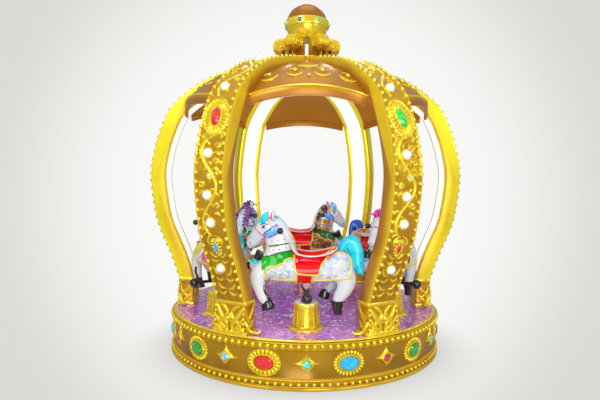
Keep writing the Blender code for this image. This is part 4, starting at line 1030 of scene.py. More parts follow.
def makeFinial():
    look = finialLook
    plug = latheShape([(0, look["capBottom"]), (look["plugRadius"] / cos(pi / 6), look["capBottom"]),
                       (look["plugRadius"] / cos(pi / 6), 2.532), (0, 2.532)], 6)
    parts = MeshParts().add(plug, 0, 0.4)
    profile = [(0.0, 2.5303), (0.3, 2.5303)] + roundCorner((0.304, 2.5363), 0.006, -90, 60, 5)
    profile += [(0.3, 2.5435), (0.285, 2.544), (0.275, 2.546), (0.0, 2.546)]
    parts.add(latheShape(profile, 96), 0, 0.75)
    showPiece("crownCap", parts.mesh("crownCapMesh", [gold]), "turntable", replaced=["crown_cap"])

    foot = look["capTop"] + 0.0003
    rollR, rollZ = look["rollCentre"]
    outline = [(look["innerRadius"], foot), (rollR, foot), (rollR - 0.004, foot + 0.014),
               (rollR - 0.01, foot + 0.022)]
    outline += roundCorner((rollR - 0.005, foot + 0.062), 0.045, 260, 190, 8)
    outline += roundCorner(look["rollCentre"], look["rollRadius"], 205, 450, 34)
    outline += [(look["innerRadius"], rollZ + look["rollRadius"])]
    outline = np.array(outline)
    half = look["bracketWidth"] / 2
    centre = outline.mean(0)
    bracket = MeshParts()
    levels = ((-half, -0.004), (-half + 0.004, 0.0), (half - 0.004, 0.0), (half, -0.004))
    rings = []
    for sideways, inset in levels:
        shrunk = outline + (centre - outline) / np.linalg.norm(centre - outline, axis=1)[:, None] * -inset
        rings.append([(sideways, -radius, level) for radius, level in shrunk])
    shade = np.where(outline[:, 1] > rollZ - 0.035, 0.85, 0.4)
    bracket.add(closedRings(np.array(rings)), 0, np.append(np.tile(shade, len(levels)), [0.5, 0.5]))
    for side in (-1, 1):  # a spiral ridge on each end of the roll
        angle = np.linspace(0, 1.6 * tau, 50)
        reach = 0.012 + (look["rollRadius"] - 0.02) * np.linspace(0, 1, 50)
        path = np.stack([np.full(50, side * half), -(rollR + reach * np.cos(angle)), rollZ + reach * np.sin(angle)],
                        -1)
        bracket.add(sweepShape(path, 0.005, 0.005, (side, 0, 0), 6), 1)
        bracket.add(copyShape(ballShape((0.014, 0.014, 0.006), 12, 5), (side * half, -rollR, rollZ), (0, 1, 0),
                              (0, 0, 1), (side, 0, 0)), 1)
    frameX, low, high = 0.036, foot + 0.03, foot + 0.078  # the raised frame on the hollow front
    front = rollR - 0.048
    corners = [(-frameX, low), (frameX, low), (frameX, high), (-frameX, high), (-frameX, low)]
    for (x1, z1), (x2, z2) in zip(corners, corners[1:]):
        path = np.linspace((x1, -front - 0.004, z1), (x2, -front - 0.004, z2), 6)
        bracket.add(sweepShape(path, 0.005, 0.006, (0, -1, 0), 6), 1)
    for sideways in (-0.03, 0.03):  # rims across the roll
        path = [(sideways, -(rollR + (look["rollRadius"] + 0.001) * cos(a)),
                 rollZ + (look["rollRadius"] + 0.001) * sin(a))
                for a in np.linspace(radians(-150), radians(100), 30)]
        bracket.add(sweepShape(np.array(path), 0.004, 0.003, (1, 0, 0), 6), 1, 0.8)
    pieceShape = MeshParts()
    for index in range(6):
        turn = np.array(Matrix.Rotation(radians(30 + 60 * index), 3, "Z"))
        for points, relief in zip(bracket.points, bracket.relief):
            pieceShape.points.append(points @ turn.T)
            pieceShape.relief.append(relief)
        pieceShape.faces += [faces + pieceShape.count for faces in bracket.faces]
        pieceShape.slots += bracket.slots
        pieceShape.count += bracket.count
    base = [(0.116, foot), (0.246, foot), (0.25, foot + 0.004), (0.249, foot + 0.01), (0.244, foot + 0.012),
            (0.116, foot + 0.012)]
    pieceShape.add(ringShape(base, 72), 1, 0.6)
    # the brackets wear the shaded copy of the side gilt: painted shade
    showPiece("scrollCrown", pieceShape.mesh("scrollMesh", [shadedGold, gold], 35), "turntable",
              replaced=["scroll_crown"])

    radius, level = look["ballRadius"], look["ballHeight"]
    seat = rollZ + look["rollRadius"] + 0.0003
    start = np.degrees(np.arcsin((seat - level) / radius))
    lower = [(0, seat)] + roundCorner((0, level), radius, start, -10.4, 14)
    upper = roundCorner((0, level), radius, 10.4, 90, 18)
    upper[-1] = (0.0, level + radius)
    ball = MeshParts().add(latheShape(lower + [(radius - 0.008, level - 0.03), (radius - 0.008, level)], 64), 1, 0.85)
    ball.add(latheShape([(radius - 0.008, level), (radius - 0.008, level + 0.03)] + upper, 64), 0, 0.35)
    showPiece("crownBall", ball.mesh("crownBallMesh", [bronze, brightGold]), "turntable",
              replaced=["crown_ball"])
    inner, edge = radius - 0.006, look["bandRadius"]
    band = [(inner, -look["bandHalf"]), (edge - 0.008, -look["bandHalf"])]
    band += roundCorner((edge - 0.008, -look["bandHalf"] + 0.008), 0.008, -70, 0, 4)
    band += roundCorner((edge - 0.008, look["bandHalf"] - 0.008), 0.008, 0, 90, 4) + [(inner, look["bandHalf"])]
    bandParts = MeshParts().add(ringShape(band, 96, level), 0, 0.9)
    names = sorted(set(look["stones"]))
    for index, colour in enumerate(look["stones"]):
        azimuth = look["firstStone"] + index * 360 / len(look["stones"])
        gem = gemShape(0.021, 0.021, 0.014, 10, 0.001)
        rim = hoopShape(0.024, 0.024, 0.004, steps=20)
        bandParts.add(bendToWall(gem, edge, level, azimuth), 1 + names.index(colour))
        bandParts.add(bendToWall(rim, edge, level, azimuth), 0, 1.0)
    showPiece("ballBand", bandParts.mesh("ballBandMesh", [brightGold] + [gems[name] for name in names], 30),
              "turntable", replaced=["ball_band"])


makeFinial()
print("finial ready")


# Pedestals, boots, posts and bars

standLook = {
    "circle": 0.84, "deck": deckTop,
    "side": ((0.1355, 0.0), (0.137, 0.004), (0.135, 0.009), (0.122, 0.014), (0.108, 0.022), (0.1055, 0.03),
             (0.0985, 0.1), (0.0935, 0.158), (0.093, 0.166), (0.0975, 0.171), (0.0985, 0.182), (0.0975, 0.193),
             (0.094, 0.1985), (0.085, 0.2)),
    "columns": 14,
}


def makeStandMeshes():
    look = standLook
    bead = ballShape((0.0055, 0.0055, 0.0045), 8, 5)
    parts = MeshParts()
    side = np.array(look["side"])
    profile = [(0.0, look["deck"])] + [(r, look["deck"] + h) for r, h in side]
    shade = np.interp([h for _, h in profile], look["deck"] + np.array([0, 0.01, 0.022, 0.09, 0.155, 0.17, 0.19]),
                      [1.0, 1.0, 0.35, 0.75, 0.45, 0.9, 1.0])
    parts.add(latheShape(profile + [(0.0205, look["deck"] + 0.2)], 64), 0,
              np.append(np.repeat(np.append(shade, 0.9), 64), [0.3, 0.9]))
    parts.add(ringShape([(0.0205, 0.1995), (0.0885, 0.1995), (0.0885, 0.2012), (0.0205, 0.2012)], 48, look["deck"]),
              1)
    for column in range(look["columns"]):
        azimuth = column * 360 / look["columns"] + 8
        for height in np.arange(0.036, 0.155, 0.0135):
            radius = np.interp(height, side[:, 1], side[:, 0])
            turn = radians(azimuth)
            outward = (sin(turn), -cos(turn), 0)
            parts.add(copyShape(bead, (radius * sin(turn), -radius * cos(turn), look["deck"] + height),
                                (cos(turn), sin(turn), 0), (0, 0, 1), outward), 2, 0.9)
    stand = parts.mesh("standMesh", [brightGold, pearl, gold], 45)
    low = look["deck"] + 0.2003
    sleeve = [(0.0205, low), (0.042, low), (0.0425, low + 0.004), (0.04, low + 0.009), (0.0385, low + 0.014),
              (0.036, low + 0.019),
              (0.0345, low + 0.026), (0.032, low + 0.031), (0.03, low + 0.04), (0.0275, low + 0.047),
              (0.0265, low + 0.055), (0.0205, low + 0.055)]
    boot = MeshParts().add(ringShape(sleeve, 40)).mesh("bootMesh", [blackRubber])
    return stand, boot


barLook = {"height": 0.625, "radius": 0.013, "half": 0.22, "knob": 0.039, "postRadius": 0.02, "postBottom": 0.405,
           "postTop": 0.78, "handleForward": 0.2, "handleHeight": 1.105, "handleRadius": 0.012, "handleHalf": 0.14,
           "handleKnob": 0.024}


def makeBarMeshes():
    look = barLook
    post = MeshParts().add(latheShape([(0, look["postBottom"]), (look["postRadius"], look["postBottom"]),
                                       (look["postRadius"], look["postTop"]), (0, look["postTop"])], 32), 0)
    meshes = []
    for parts, x, z, radius, half, knob in ((post, 0, look["height"], look["radius"], look["half"], look["knob"]),
                                            (MeshParts(), look["handleForward"], look["handleHeight"],
                                             look["handleRadius"], look["handleHalf"], look["handleKnob"])):
        path = np.linspace((x, -half, z), (x, half, z), 12)
        parts.add(sweepShape(path, radius, radius, (0, 0, 1), 16), 1)
        for side in (-1, 1):
            parts.add(copyShape(ballShape(knob, 24, 14), (x, side * half, z)), 1)
            path = np.linspace((x, side * (half - knob - 0.02), z), (x, side * (half - knob + 0.012), z), 4)
            parts.add(sweepShape(path, radius + 0.004, radius + 0.004, (0, 0, 1), 16), 1)
        meshes.append(parts)
    return meshes[0].mesh("postBarMesh", [steel, blackPaint]), meshes[1].mesh("handleMesh", [steel, blackPaint])


standMesh, bootMesh = makeStandMeshes()
postMesh, handleMesh = makeBarMeshes()
horsePlaces = {}
for number in range(1, 7):
    azimuth = 60 * (number - 1)
    turn = radians(azimuth)
    spot = (standLook["circle"] * sin(turn), -standLook["circle"] * cos(turn), 0)
    horsePlaces[number] = (spot, azimuth + 180)
    showPiece(f"stand_{number}", standMesh, "turntable", azimuth, spot, [f"pedestal_{number}"])
    showPiece(f"boot_{number}", bootMesh, "turntable", azimuth, spot, [f"post_boot_{number}"])
    showPiece(f"postBar_{number}", postMesh, f"horse_{number}_set", azimuth + 180, spot,
              [f"post_and_foot_bar_{number}"])
    showPiece(f"handle_{number}", handleMesh, f"horse_{number}_set", azimuth + 180, spot,
              [f"handle_bar_{number}"])
print("stands and bars ready")

# Horses: each piece is made facing +X at the axis of its post, with the outer side at +Y

horseLook = {
    "voxel": 0.0095,
    "torso": ((-0.356, 0, 0.862, 0.035, 0.045), (-0.335, 0, 0.856, 0.082, 0.082), (-0.29, 0, 0.842, 0.112, 0.104),
              (-0.2, 0, 0.82, 0.126, 0.116), (-0.05, 0, 0.801, 0.121, 0.098), (0.1, 0, 0.806, 0.12, 0.104),
              (0.22, 0, 0.85, 0.114, 0.142), (0.3, 0, 0.872, 0.083, 0.112), (0.338, 0, 0.885, 0.035, 0.052)),
    "neck": ((0.165, 0, 0.85, 0.078, 0.118), (0.2, 0, 0.95, 0.078, 0.117), (0.212, 0, 1.04, 0.068, 0.103),
             (0.238, 0, 1.12, 0.057, 0.083), (0.275, 0, 1.168, 0.044, 0.052)),
    "head": ((0.228, 0, 1.165, 0.036, 0.036), (0.275, 0, 1.143, 0.058, 0.064), (0.33, 0, 1.103, 0.06, 0.07),
             (0.378, 0, 1.054, 0.047, 0.056), (0.412, 0, 1.012, 0.045, 0.048), (0.43, 0, 0.982, 0.04, 0.038),
             (0.438, 0, 0.968, 0.022, 0.02)),
    "nearForeleg": ((0.225, 0.052, 0.86, 0.058, 0.082), (0.33, 0.066, 0.8, 0.05, 0.07),
                    (0.368, 0.072, 0.742, 0.048, 0.06), (0.352, 0.075, 0.668, 0.041, 0.048),
                    (0.326, 0.075, 0.602, 0.036, 0.042), (0.298, 0.075, 0.562, 0.036, 0.038)),
    "farForeleg": ((0.225, -0.055, 0.85, 0.055, 0.072), (0.33, -0.066, 0.812, 0.048, 0.056),
                   (0.398, -0.072, 0.806, 0.044, 0.044), (0.402, -0.072, 0.838, 0.037, 0.036),
                   (0.372, -0.072, 0.868, 0.031, 0.031)),
    "nearHindleg": ((-0.215, 0.05, 0.855, 0.068, 0.112), (-0.292, 0.066, 0.745, 0.056, 0.084),
                    (-0.288, 0.074, 0.675, 0.045, 0.064), (-0.248, 0.076, 0.61, 0.037, 0.05),
                    (-0.228, 0.076, 0.565, 0.036, 0.036)),
    "farHindleg": ((-0.195, -0.05, 0.83, 0.064, 0.098), (-0.225, -0.066, 0.715, 0.05, 0.064),
                   (-0.185, -0.072, 0.652, 0.037, 0.038), (-0.15, -0.072, 0.62, 0.034, 0.034)),
    # place, radii and tilt about Y of the softer forms: jowl, brow, nostril, lips, chest, haunch, shoulder
    "forms": (((0.3, 0.03, 1.112), (0.048, 0.036, 0.046), 0), ((0.318, 0.04, 1.152), (0.026, 0.018, 0.016), 20),
              ((0.424, 0.026, 1.0), (0.022, 0.022, 0.024), 0), ((0.428, 0.0, 0.968), (0.016, 0.03, 0.016), 0),
              ((0.262, 0.044, 0.88), (0.075, 0.062, 0.085), 0), ((-0.245, 0.058, 0.85), (0.088, 0.068, 0.098), 0),
              ((0.17, 0.06, 0.86), (0.07, 0.06, 0.09), 0)),
    "hooves": (((0.306, 0.075, 0.602), (0.284, 0.075, 0.512), 0.03, 0.052),
               ((0.386, -0.072, 0.856), (0.345, -0.072, 0.918), 0.03, 0.045),
               ((-0.228, 0.076, 0.578), (-0.236, 0.076, 0.476), 0.047, 0.034),
               ((-0.158, -0.072, 0.636), (-0.136, -0.072, 0.566), 0.032, 0.046)),
    "tail": ((-0.262, 0.948, 0.026), (-0.296, 1.0, 0.042), (-0.345, 1.003, 0.056), (-0.372, 0.935, 0.052),
             (-0.38, 0.865, 0.046), (-0.4, 0.805, 0.036), (-0.426, 0.765, 0.01)),
    "crest": ((0.262, 1.206), (0.205, 1.178), (0.158, 1.115), (0.13, 1.04), (0.118, 0.975)),
    "rim": ((0.128, 1.01, 0.045), (0.12, 0.998, 0.085), (0.106, 0.972, 0.118), (0.085, 0.946, 0.134),
            (0.06, 0.932, 0.14), (0.025, 0.924, 0.142), (-0.036, 0.919, 0.143), (-0.09, 0.924, 0.142),
            (-0.13, 0.932, 0.138), (-0.18, 0.946, 0.122), (-0.212, 0.96, 0.09), (-0.228, 0.966, 0.05)),
    "flap": ((0.128, 1.0), (0.116, 0.965), (0.106, 0.92), (0.096, 0.86), (0.084, 0.812), (0.066, 0.79),
             (0.0, 0.783), (-0.075, 0.783), (-0.094, 0.8), (-0.102, 0.832), (-0.125, 0.87), (-0.161, 0.902),
             (-0.205, 0.938), (-0.228, 0.956)),
    # cloud curls on the blanket: x, z, size, start angle
    "curls": ((-0.175, 0.868, 0.03, 30), (-0.24, 0.89, 0.032, 60), (-0.205, 0.822, 0.03, 10),
              (-0.275, 0.842, 0.03, 80), (-0.14, 0.812, 0.026, 0), (-0.262, 0.792, 0.026, 40),
              (-0.19, 0.778, 0.022, 0), (0.255, 0.8, 0.026, 60), (0.2, 0.815, 0.028, 30),
              (0.14, 0.842, 0.028, 20), (0.225, 0.768, 0.022, 0), (0.16, 0.782, 0.024, 40), (0.108, 0.8, 0.024, 10)),
}


def tubeShape(stations, sides=18, rows=22):  # an oval tube whose sections stand square to its path
    path = smoothPath(np.array(stations)[:, :3], rows)
    nodes = np.array(stations)
    lengths = np.concatenate([[0], np.cumsum(np.linalg.norm(np.diff(nodes[:, :3], axis=0), axis=1))])
    share = np.concatenate([[0], np.cumsum(np.linalg.norm(np.diff(path, axis=0), axis=1))])
    share *= lengths[-1] / share[-1]
    sizes = np.stack([np.interp(share, lengths, nodes[:, 3]), np.interp(share, lengths, nodes[:, 4])], -1)
    along = np.gradient(path, axis=0)
    along[:, 1] = 0
    along /= np.linalg.norm(along, axis=1)[:, None]
    upward = np.stack([-along[:, 2], np.zeros(rows), along[:, 0]], -1)
    turns = np.arange(sides) * tau / sides
    rings = (path[:, None] + np.array([0, 1.0, 0]) * (sizes[:, :1] * np.cos(turns))[..., None]
             + upward[:, None] * (sizes[:, 1:] * np.sin(turns))[..., None])
    return closedRings(rings, flip=True)


def makeSkin():  # the horse's bare form, its parts merged into one soft skin
    parts = MeshParts()
    for name in ("torso", "neck", "head", "nearForeleg", "farForeleg", "nearHindleg", "farHindleg"):
        parts.add(tubeShape(horseLook[name]))
    for place, radii, tilt in horseLook["forms"]:
        for side in (-1, 1):
            turn = radians(tilt)
            parts.add(copyShape(ballShape(radii, 16, 10), (place[0], place[1] * side, place[2]),
                                (cos(turn), 0, -sin(turn)), (0, 1, 0), (sin(turn), 0, cos(turn))))
    holder = addObject("skinSource", parts.mesh("skinSource", []))
    merge = holder.modifiers.new("merge", "REMESH")
    merge.mode, merge.voxel_size = "VOXEL", horseLook["voxel"]
    soften = holder.modifiers.new("soften", "SMOOTH")
    soften.factor, soften.iterations = 0.6, 7
    graph = bpy.context.evaluated_depsgraph_get()
    mesh = bpy.data.meshes.new_from_object(holder.evaluated_get(graph))
    bpy.data.objects.remove(holder, do_unlink=True)
    points = np.zeros(len(mesh.vertices) * 3)
    mesh.vertices.foreach_get("co", points)
    quads = np.array([list(face.vertices) for face in mesh.polygons])
    bpy.data.meshes.remove(mesh)
    return points.reshape(-1, 3), quads


skinPoints, skinFaces = makeSkin()
skinTree = BVHTree.FromPolygons([Vector(point) for point in skinPoints], skinFaces.tolist())


def drape(places, side, lift):  # puts (x, z) places on one side of the skin, lifted off it
    places = np.asarray(places, float)
    flat = places.reshape(-1, 2)
    lifts = np.broadcast_to(lift, places.shape[:-1]).reshape(-1)
    spots, normals = [], []
    for (x, z), rise in zip(flat, lifts):
        hit, normal, _, _ = skinTree.ray_cast(Vector((x, side * 0.4, z)), Vector((0, -side, 0)))
        if hit is None or hit.y * side < 0:
            hit, normal, _, _ = skinTree.find_nearest(Vector((x, side * 0.06, z)))
        spots.append(hit + normal * rise)
        normals.append(normal)
    return (np.array(spots).reshape(*places.shape[:-1], 3), np.array(normals).reshape(*places.shape[:-1], 3))


def slabShape(places, side, lift, root=-0.004):  # a raised sheet over a grid of (x, z) places
    places = np.pad(np.asarray(places, float), ((1, 1), (1, 1), (0, 0)), mode="edge")
    lifts = np.full(places.shape[:2], lift)
    lifts[0], lifts[-1], lifts[:, 0], lifts[:, -1] = root, root, root, root
    return gridShape(drape(places, side, lifts)[0])


def bandPlaces(xs, lows, highs, rows=6):  # a grid of places between two edges given along x
    share = np.linspace(0, 1, rows)[:, None]
    xs, lows, highs = [np.asarray(value, float)[None] for value in (xs, lows, highs)]
    heights = lows + (highs - lows) * share
    return np.stack([np.broadcast_to(xs, heights.shape), heights], -1)


def trimShape(path, side, radius, lift, count=40, flat=1.0):  # a cord along a path on one side
    places = smoothPath(path, count)
    spots, normals = drape(places, side, lift)
    return sweepShape(spots, radius, radius * flat, normals, 8)


def hugPoints(centre, axis, start, end, count, lift, reach=0.14):  # points round the skin, looked for inwards
    axis = Vector(axis).normalized()
    first = axis.cross(Vector((0, 1, 0))).normalized()
    spots, normals = [], []
    for turn in np.radians(np.linspace(start, end, count)):
        outward = Vector((0, 1, 0)) * cos(turn) + first * sin(turn)
        hit, normal, _, _ = skinTree.ray_cast(Vector(centre) + outward * reach, -outward, reach)
        if hit is None:
            hit, normal = Vector(centre) + outward * 0.04, outward
        spots.append(hit + normal * lift)
        normals.append(normal)
    return np.array(spots), np.array(normals)


def wrapShape(centre, axis, radius, lift, flat, reach):
    spots, normals = hugPoints(centre, axis, 0, 360, 36, lift, reach)
    return sweepShape(spots, radius, radius * flat, normals, 8)


def leafShape(length, width, thick, cup=0.3):  # a pointed leaf along +Z, its face to +Y
    count = 14
    share = np.linspace(0, 1, count)
    breadth = width * np.sin(pi * share ** 0.75) ** 0.8 + 0.002
    path = np.stack([np.zeros(count), cup * width * np.sin(pi * share), length * share], -1)
    return sweepShape(path, breadth, np.maximum(thick * np.sin(pi * share) ** 0.5, 0.001), (0, 1, 0), 10)


def lockShape(path, width, thick, normal, count=18, grow=0.35):  # a lock of hair that ends in a point
    path = smoothPath(path, count)
    share = np.linspace(0, 1, count)
    size = np.interp(share, [0, 0.15, 0.55, 0.85, 1], [grow, 0.85, 1, 0.6, 0.05])
    return sweepShape(path, width * size, thick * size, normal, 8)


paints = {name: enamelMaterial(f"paint_{name}", *values) for name, values in {
    "white": ((0.69, 0.71, 0.73), (0.5, 0.6, 0.74), 0.2, 0.4, 5.0),
    "cloudWhite": ((0.7, 0.72, 0.74), (0.3, 0.44, 0.68), 0.3, 0.2, 26.0),
    "paleBlue": ((0.5, 0.68, 0.88), (0.72, 0.83, 0.94), 0.2, 0.5, 10.0),
    "goldBrown": ((0.62, 0.3, 0.035), (0.3, 0.11, 0.012), 0.25, 0.5, 22.0),
    "black": ((0.006, 0.006, 0.008), (0.012, 0.012, 0.016), 0.1, 0.8),
    "navy": ((0.012, 0.018, 0.1), (0.02, 0.03, 0.16)),
    "cyan": ((0.0, 0.68, 0.86), (0.0, 0.46, 0.74), 0.2, 0.25, 20.0),
    "lightCyan": ((0.2, 0.84, 0.95), (0.04, 0.66, 0.88), 0.2, 0.25, 20.0),
    "royalBlue": ((0.012, 0.09, 0.78), (0.006, 0.03, 0.42), 0.18, 0.6, 18.0),
    "periwinkle": ((0.14, 0.24, 0.7), (0.28, 0.42, 0.85), 0.2, 0.5),
    "skyBlue": ((0.06, 0.34, 0.85), (0.22, 0.6, 0.95), 0.18, 0.5, 16.0),
    "green": ((0.0, 0.42, 0.008), (0.0, 0.3, 0.006), 0.25, 0.15),
    "darkGreen": ((0.0, 0.13, 0.02), (0.0, 0.08, 0.012), 0.2, 0.5),
    "red": ((0.84, 0.0, 0.004), (0.66, 0.0, 0.004), 0.24, 0.2),
    "darkRed": ((0.24, 0.004, 0.012), (0.16, 0.002, 0.008), 0.2, 0.5),
    "pink": ((0.85, 0.16, 0.3), (0.9, 0.32, 0.44), 0.2, 0.5),
    "magenta": ((0.66, 0.01, 0.42), (0.85, 0.1, 0.6), 0.18, 0.6, 20.0),
    "purple": ((0.26, 0.05, 0.48), (0.16, 0.03, 0.3), 0.2, 0.5),
    "plum": ((0.1, 0.035, 0.16), (0.24, 0.06, 0.22), 0.2, 0.5, 24.0),
    "yellow": ((0.85, 0.66, 0.035), (0.62, 0.4, 0.015), 0.22, 0.5, 30.0),
}.items()}
paints["gold"] = brightGold
paints["trim"] = giltMaterial("paint_trim", (0.92, 0.7, 0.1), (0.86, 0.6, 0.06), (0.5, 0.3, 0.03), 0.25, 0.3)

commonLivery = dict(blanket="cloudWhite", plates="white", ear="white", head="white", inner="pink", leaf=None,
                    tuft=None, crown=None)
liveries = {
    1: dict(commonLivery, leaf="cyan", tuft="periwinkle", mane="lightCyan", maneEdge="navy",
            tail=("cyan", "lightCyan"), saddle="red", band="green", dots="magenta", line="darkGreen",
            cheek=("skyBlue", "purple"), bridle="pink", strap="periwinkle", fetlock="cyan", drop=0.0),
    2: dict(commonLivery, crown="magenta", mane="white", maneEdge="magenta", tail=("skyBlue", "white"),
            saddle="darkRed", band="yellow", dots="magenta", line="magenta", cheek=("gold", "goldBrown"),
            bridle="magenta", strap="skyBlue", fetlock="skyBlue", drop=0.4),
    3: dict(commonLivery, inner="royalBlue", tuft="royalBlue", mane="royalBlue", maneEdge="royalBlue",
            tail=("royalBlue", "skyBlue"), saddle="red", band="royalBlue", dots="royalBlue", line="navy",
            cheek=("royalBlue", "gold"), bridle="red", strap="royalBlue", fetlock="royalBlue", drop=1.0),
    4: dict(commonLivery, blanket="goldBrown", plates="goldBrown", ear="pink", inner="skyBlue", leaf="skyBlue",
            mane="black", maneEdge="goldBrown", tail=("goldBrown", "yellow"), saddle="red", band="darkGreen",
            dots="black", line="black", cheek=("skyBlue", "purple"), bridle="pink", strap="green", fetlock="green",
            drop=0.35),
    5: dict(commonLivery, blanket="paleBlue", plates="paleBlue", ear="paleBlue", head="paleBlue", inner="purple",
            crown="plum", mane="plum", maneEdge="purple", tail=("skyBlue", "white"), saddle="darkGreen",
            band="green", dots="purple", line="navy", cheek=("periwinkle", "gold"), bridle="purple",
            strap="skyBlue", fetlock="skyBlue", drop=0.5, body="paleBlue"),
    6: dict(commonLivery, crown="magenta", mane="yellow", maneEdge="yellow", tail=("cyan", "skyBlue"),
            saddle="magenta", band="yellow", dots="pink", line="pink", cheek=("pink", "gold"), bridle="pink",
            strap="cyan", fetlock="cyan", drop=0.7),
}


def skinSlots():  # paints the bare skin: body, head, far fetlock
    middles = skinPoints[skinFaces].mean(1)
    slots = np.zeros(len(skinFaces), int)
    x, z = middles[:, 0], middles[:, 2]
    slots[(x > 0.225) & (z + 0.55 * (x - 0.3) > 1.045) & (z > 0.95)] = 1
    farFetlock = np.array([0.392, -0.072, 0.846])
    slots[np.linalg.norm(middles - farFetlock, axis=1) < 0.042] = 2
    return slots


def saddleShape(look):  # flaps up to a raised rim, and a dished seat between the rims
    count = 46
    rim = smoothPath([(x, z, y) for x, z, y in look["rim"]], count)
    low = np.interp(-rim[:, 0], [-x for x, _ in look["flap"]], [z for _, z in look["flap"]])
    rings = []
    for (x, top, half), bottom in zip(rim, low):
        rows = np.linspace(bottom, top - 0.004, 7)
        body, _ = drape(np.stack([np.full(7, x), rows], -1), 1, 0.014)
        out = np.maximum(body[:, 1], np.interp(rows, [0.86, top], [0.0, half]))
        out = np.minimum(out, 0.15)
        side = [(y, z) for y, z in zip(out, rows)]
        side += [(half - 0.006, top), (half - 0.018, top - 0.003), (half * 0.8 - 0.006, top - 0.018),
                 (half * 0.5, top - 0.034), (half * 0.2, top - 0.042)]
        inner = max(out[0] - 0.03, 0.02)
        section = side + [(-y, z) for y, z in reversed(side)] + [(-inner, rows[0]), (inner, rows[0])]
        rings.append([(x, y, z) for y, z in section])
    return closedRings(np.array(rings)), rim


def rimPath(rim):  # the closed line of the saddle's rim
    left = [(x, y - 0.006, z) for x, z, y in rim]
    return np.array(left + [(x, -y, z) for x, y, z in reversed(left)] + left[:1])


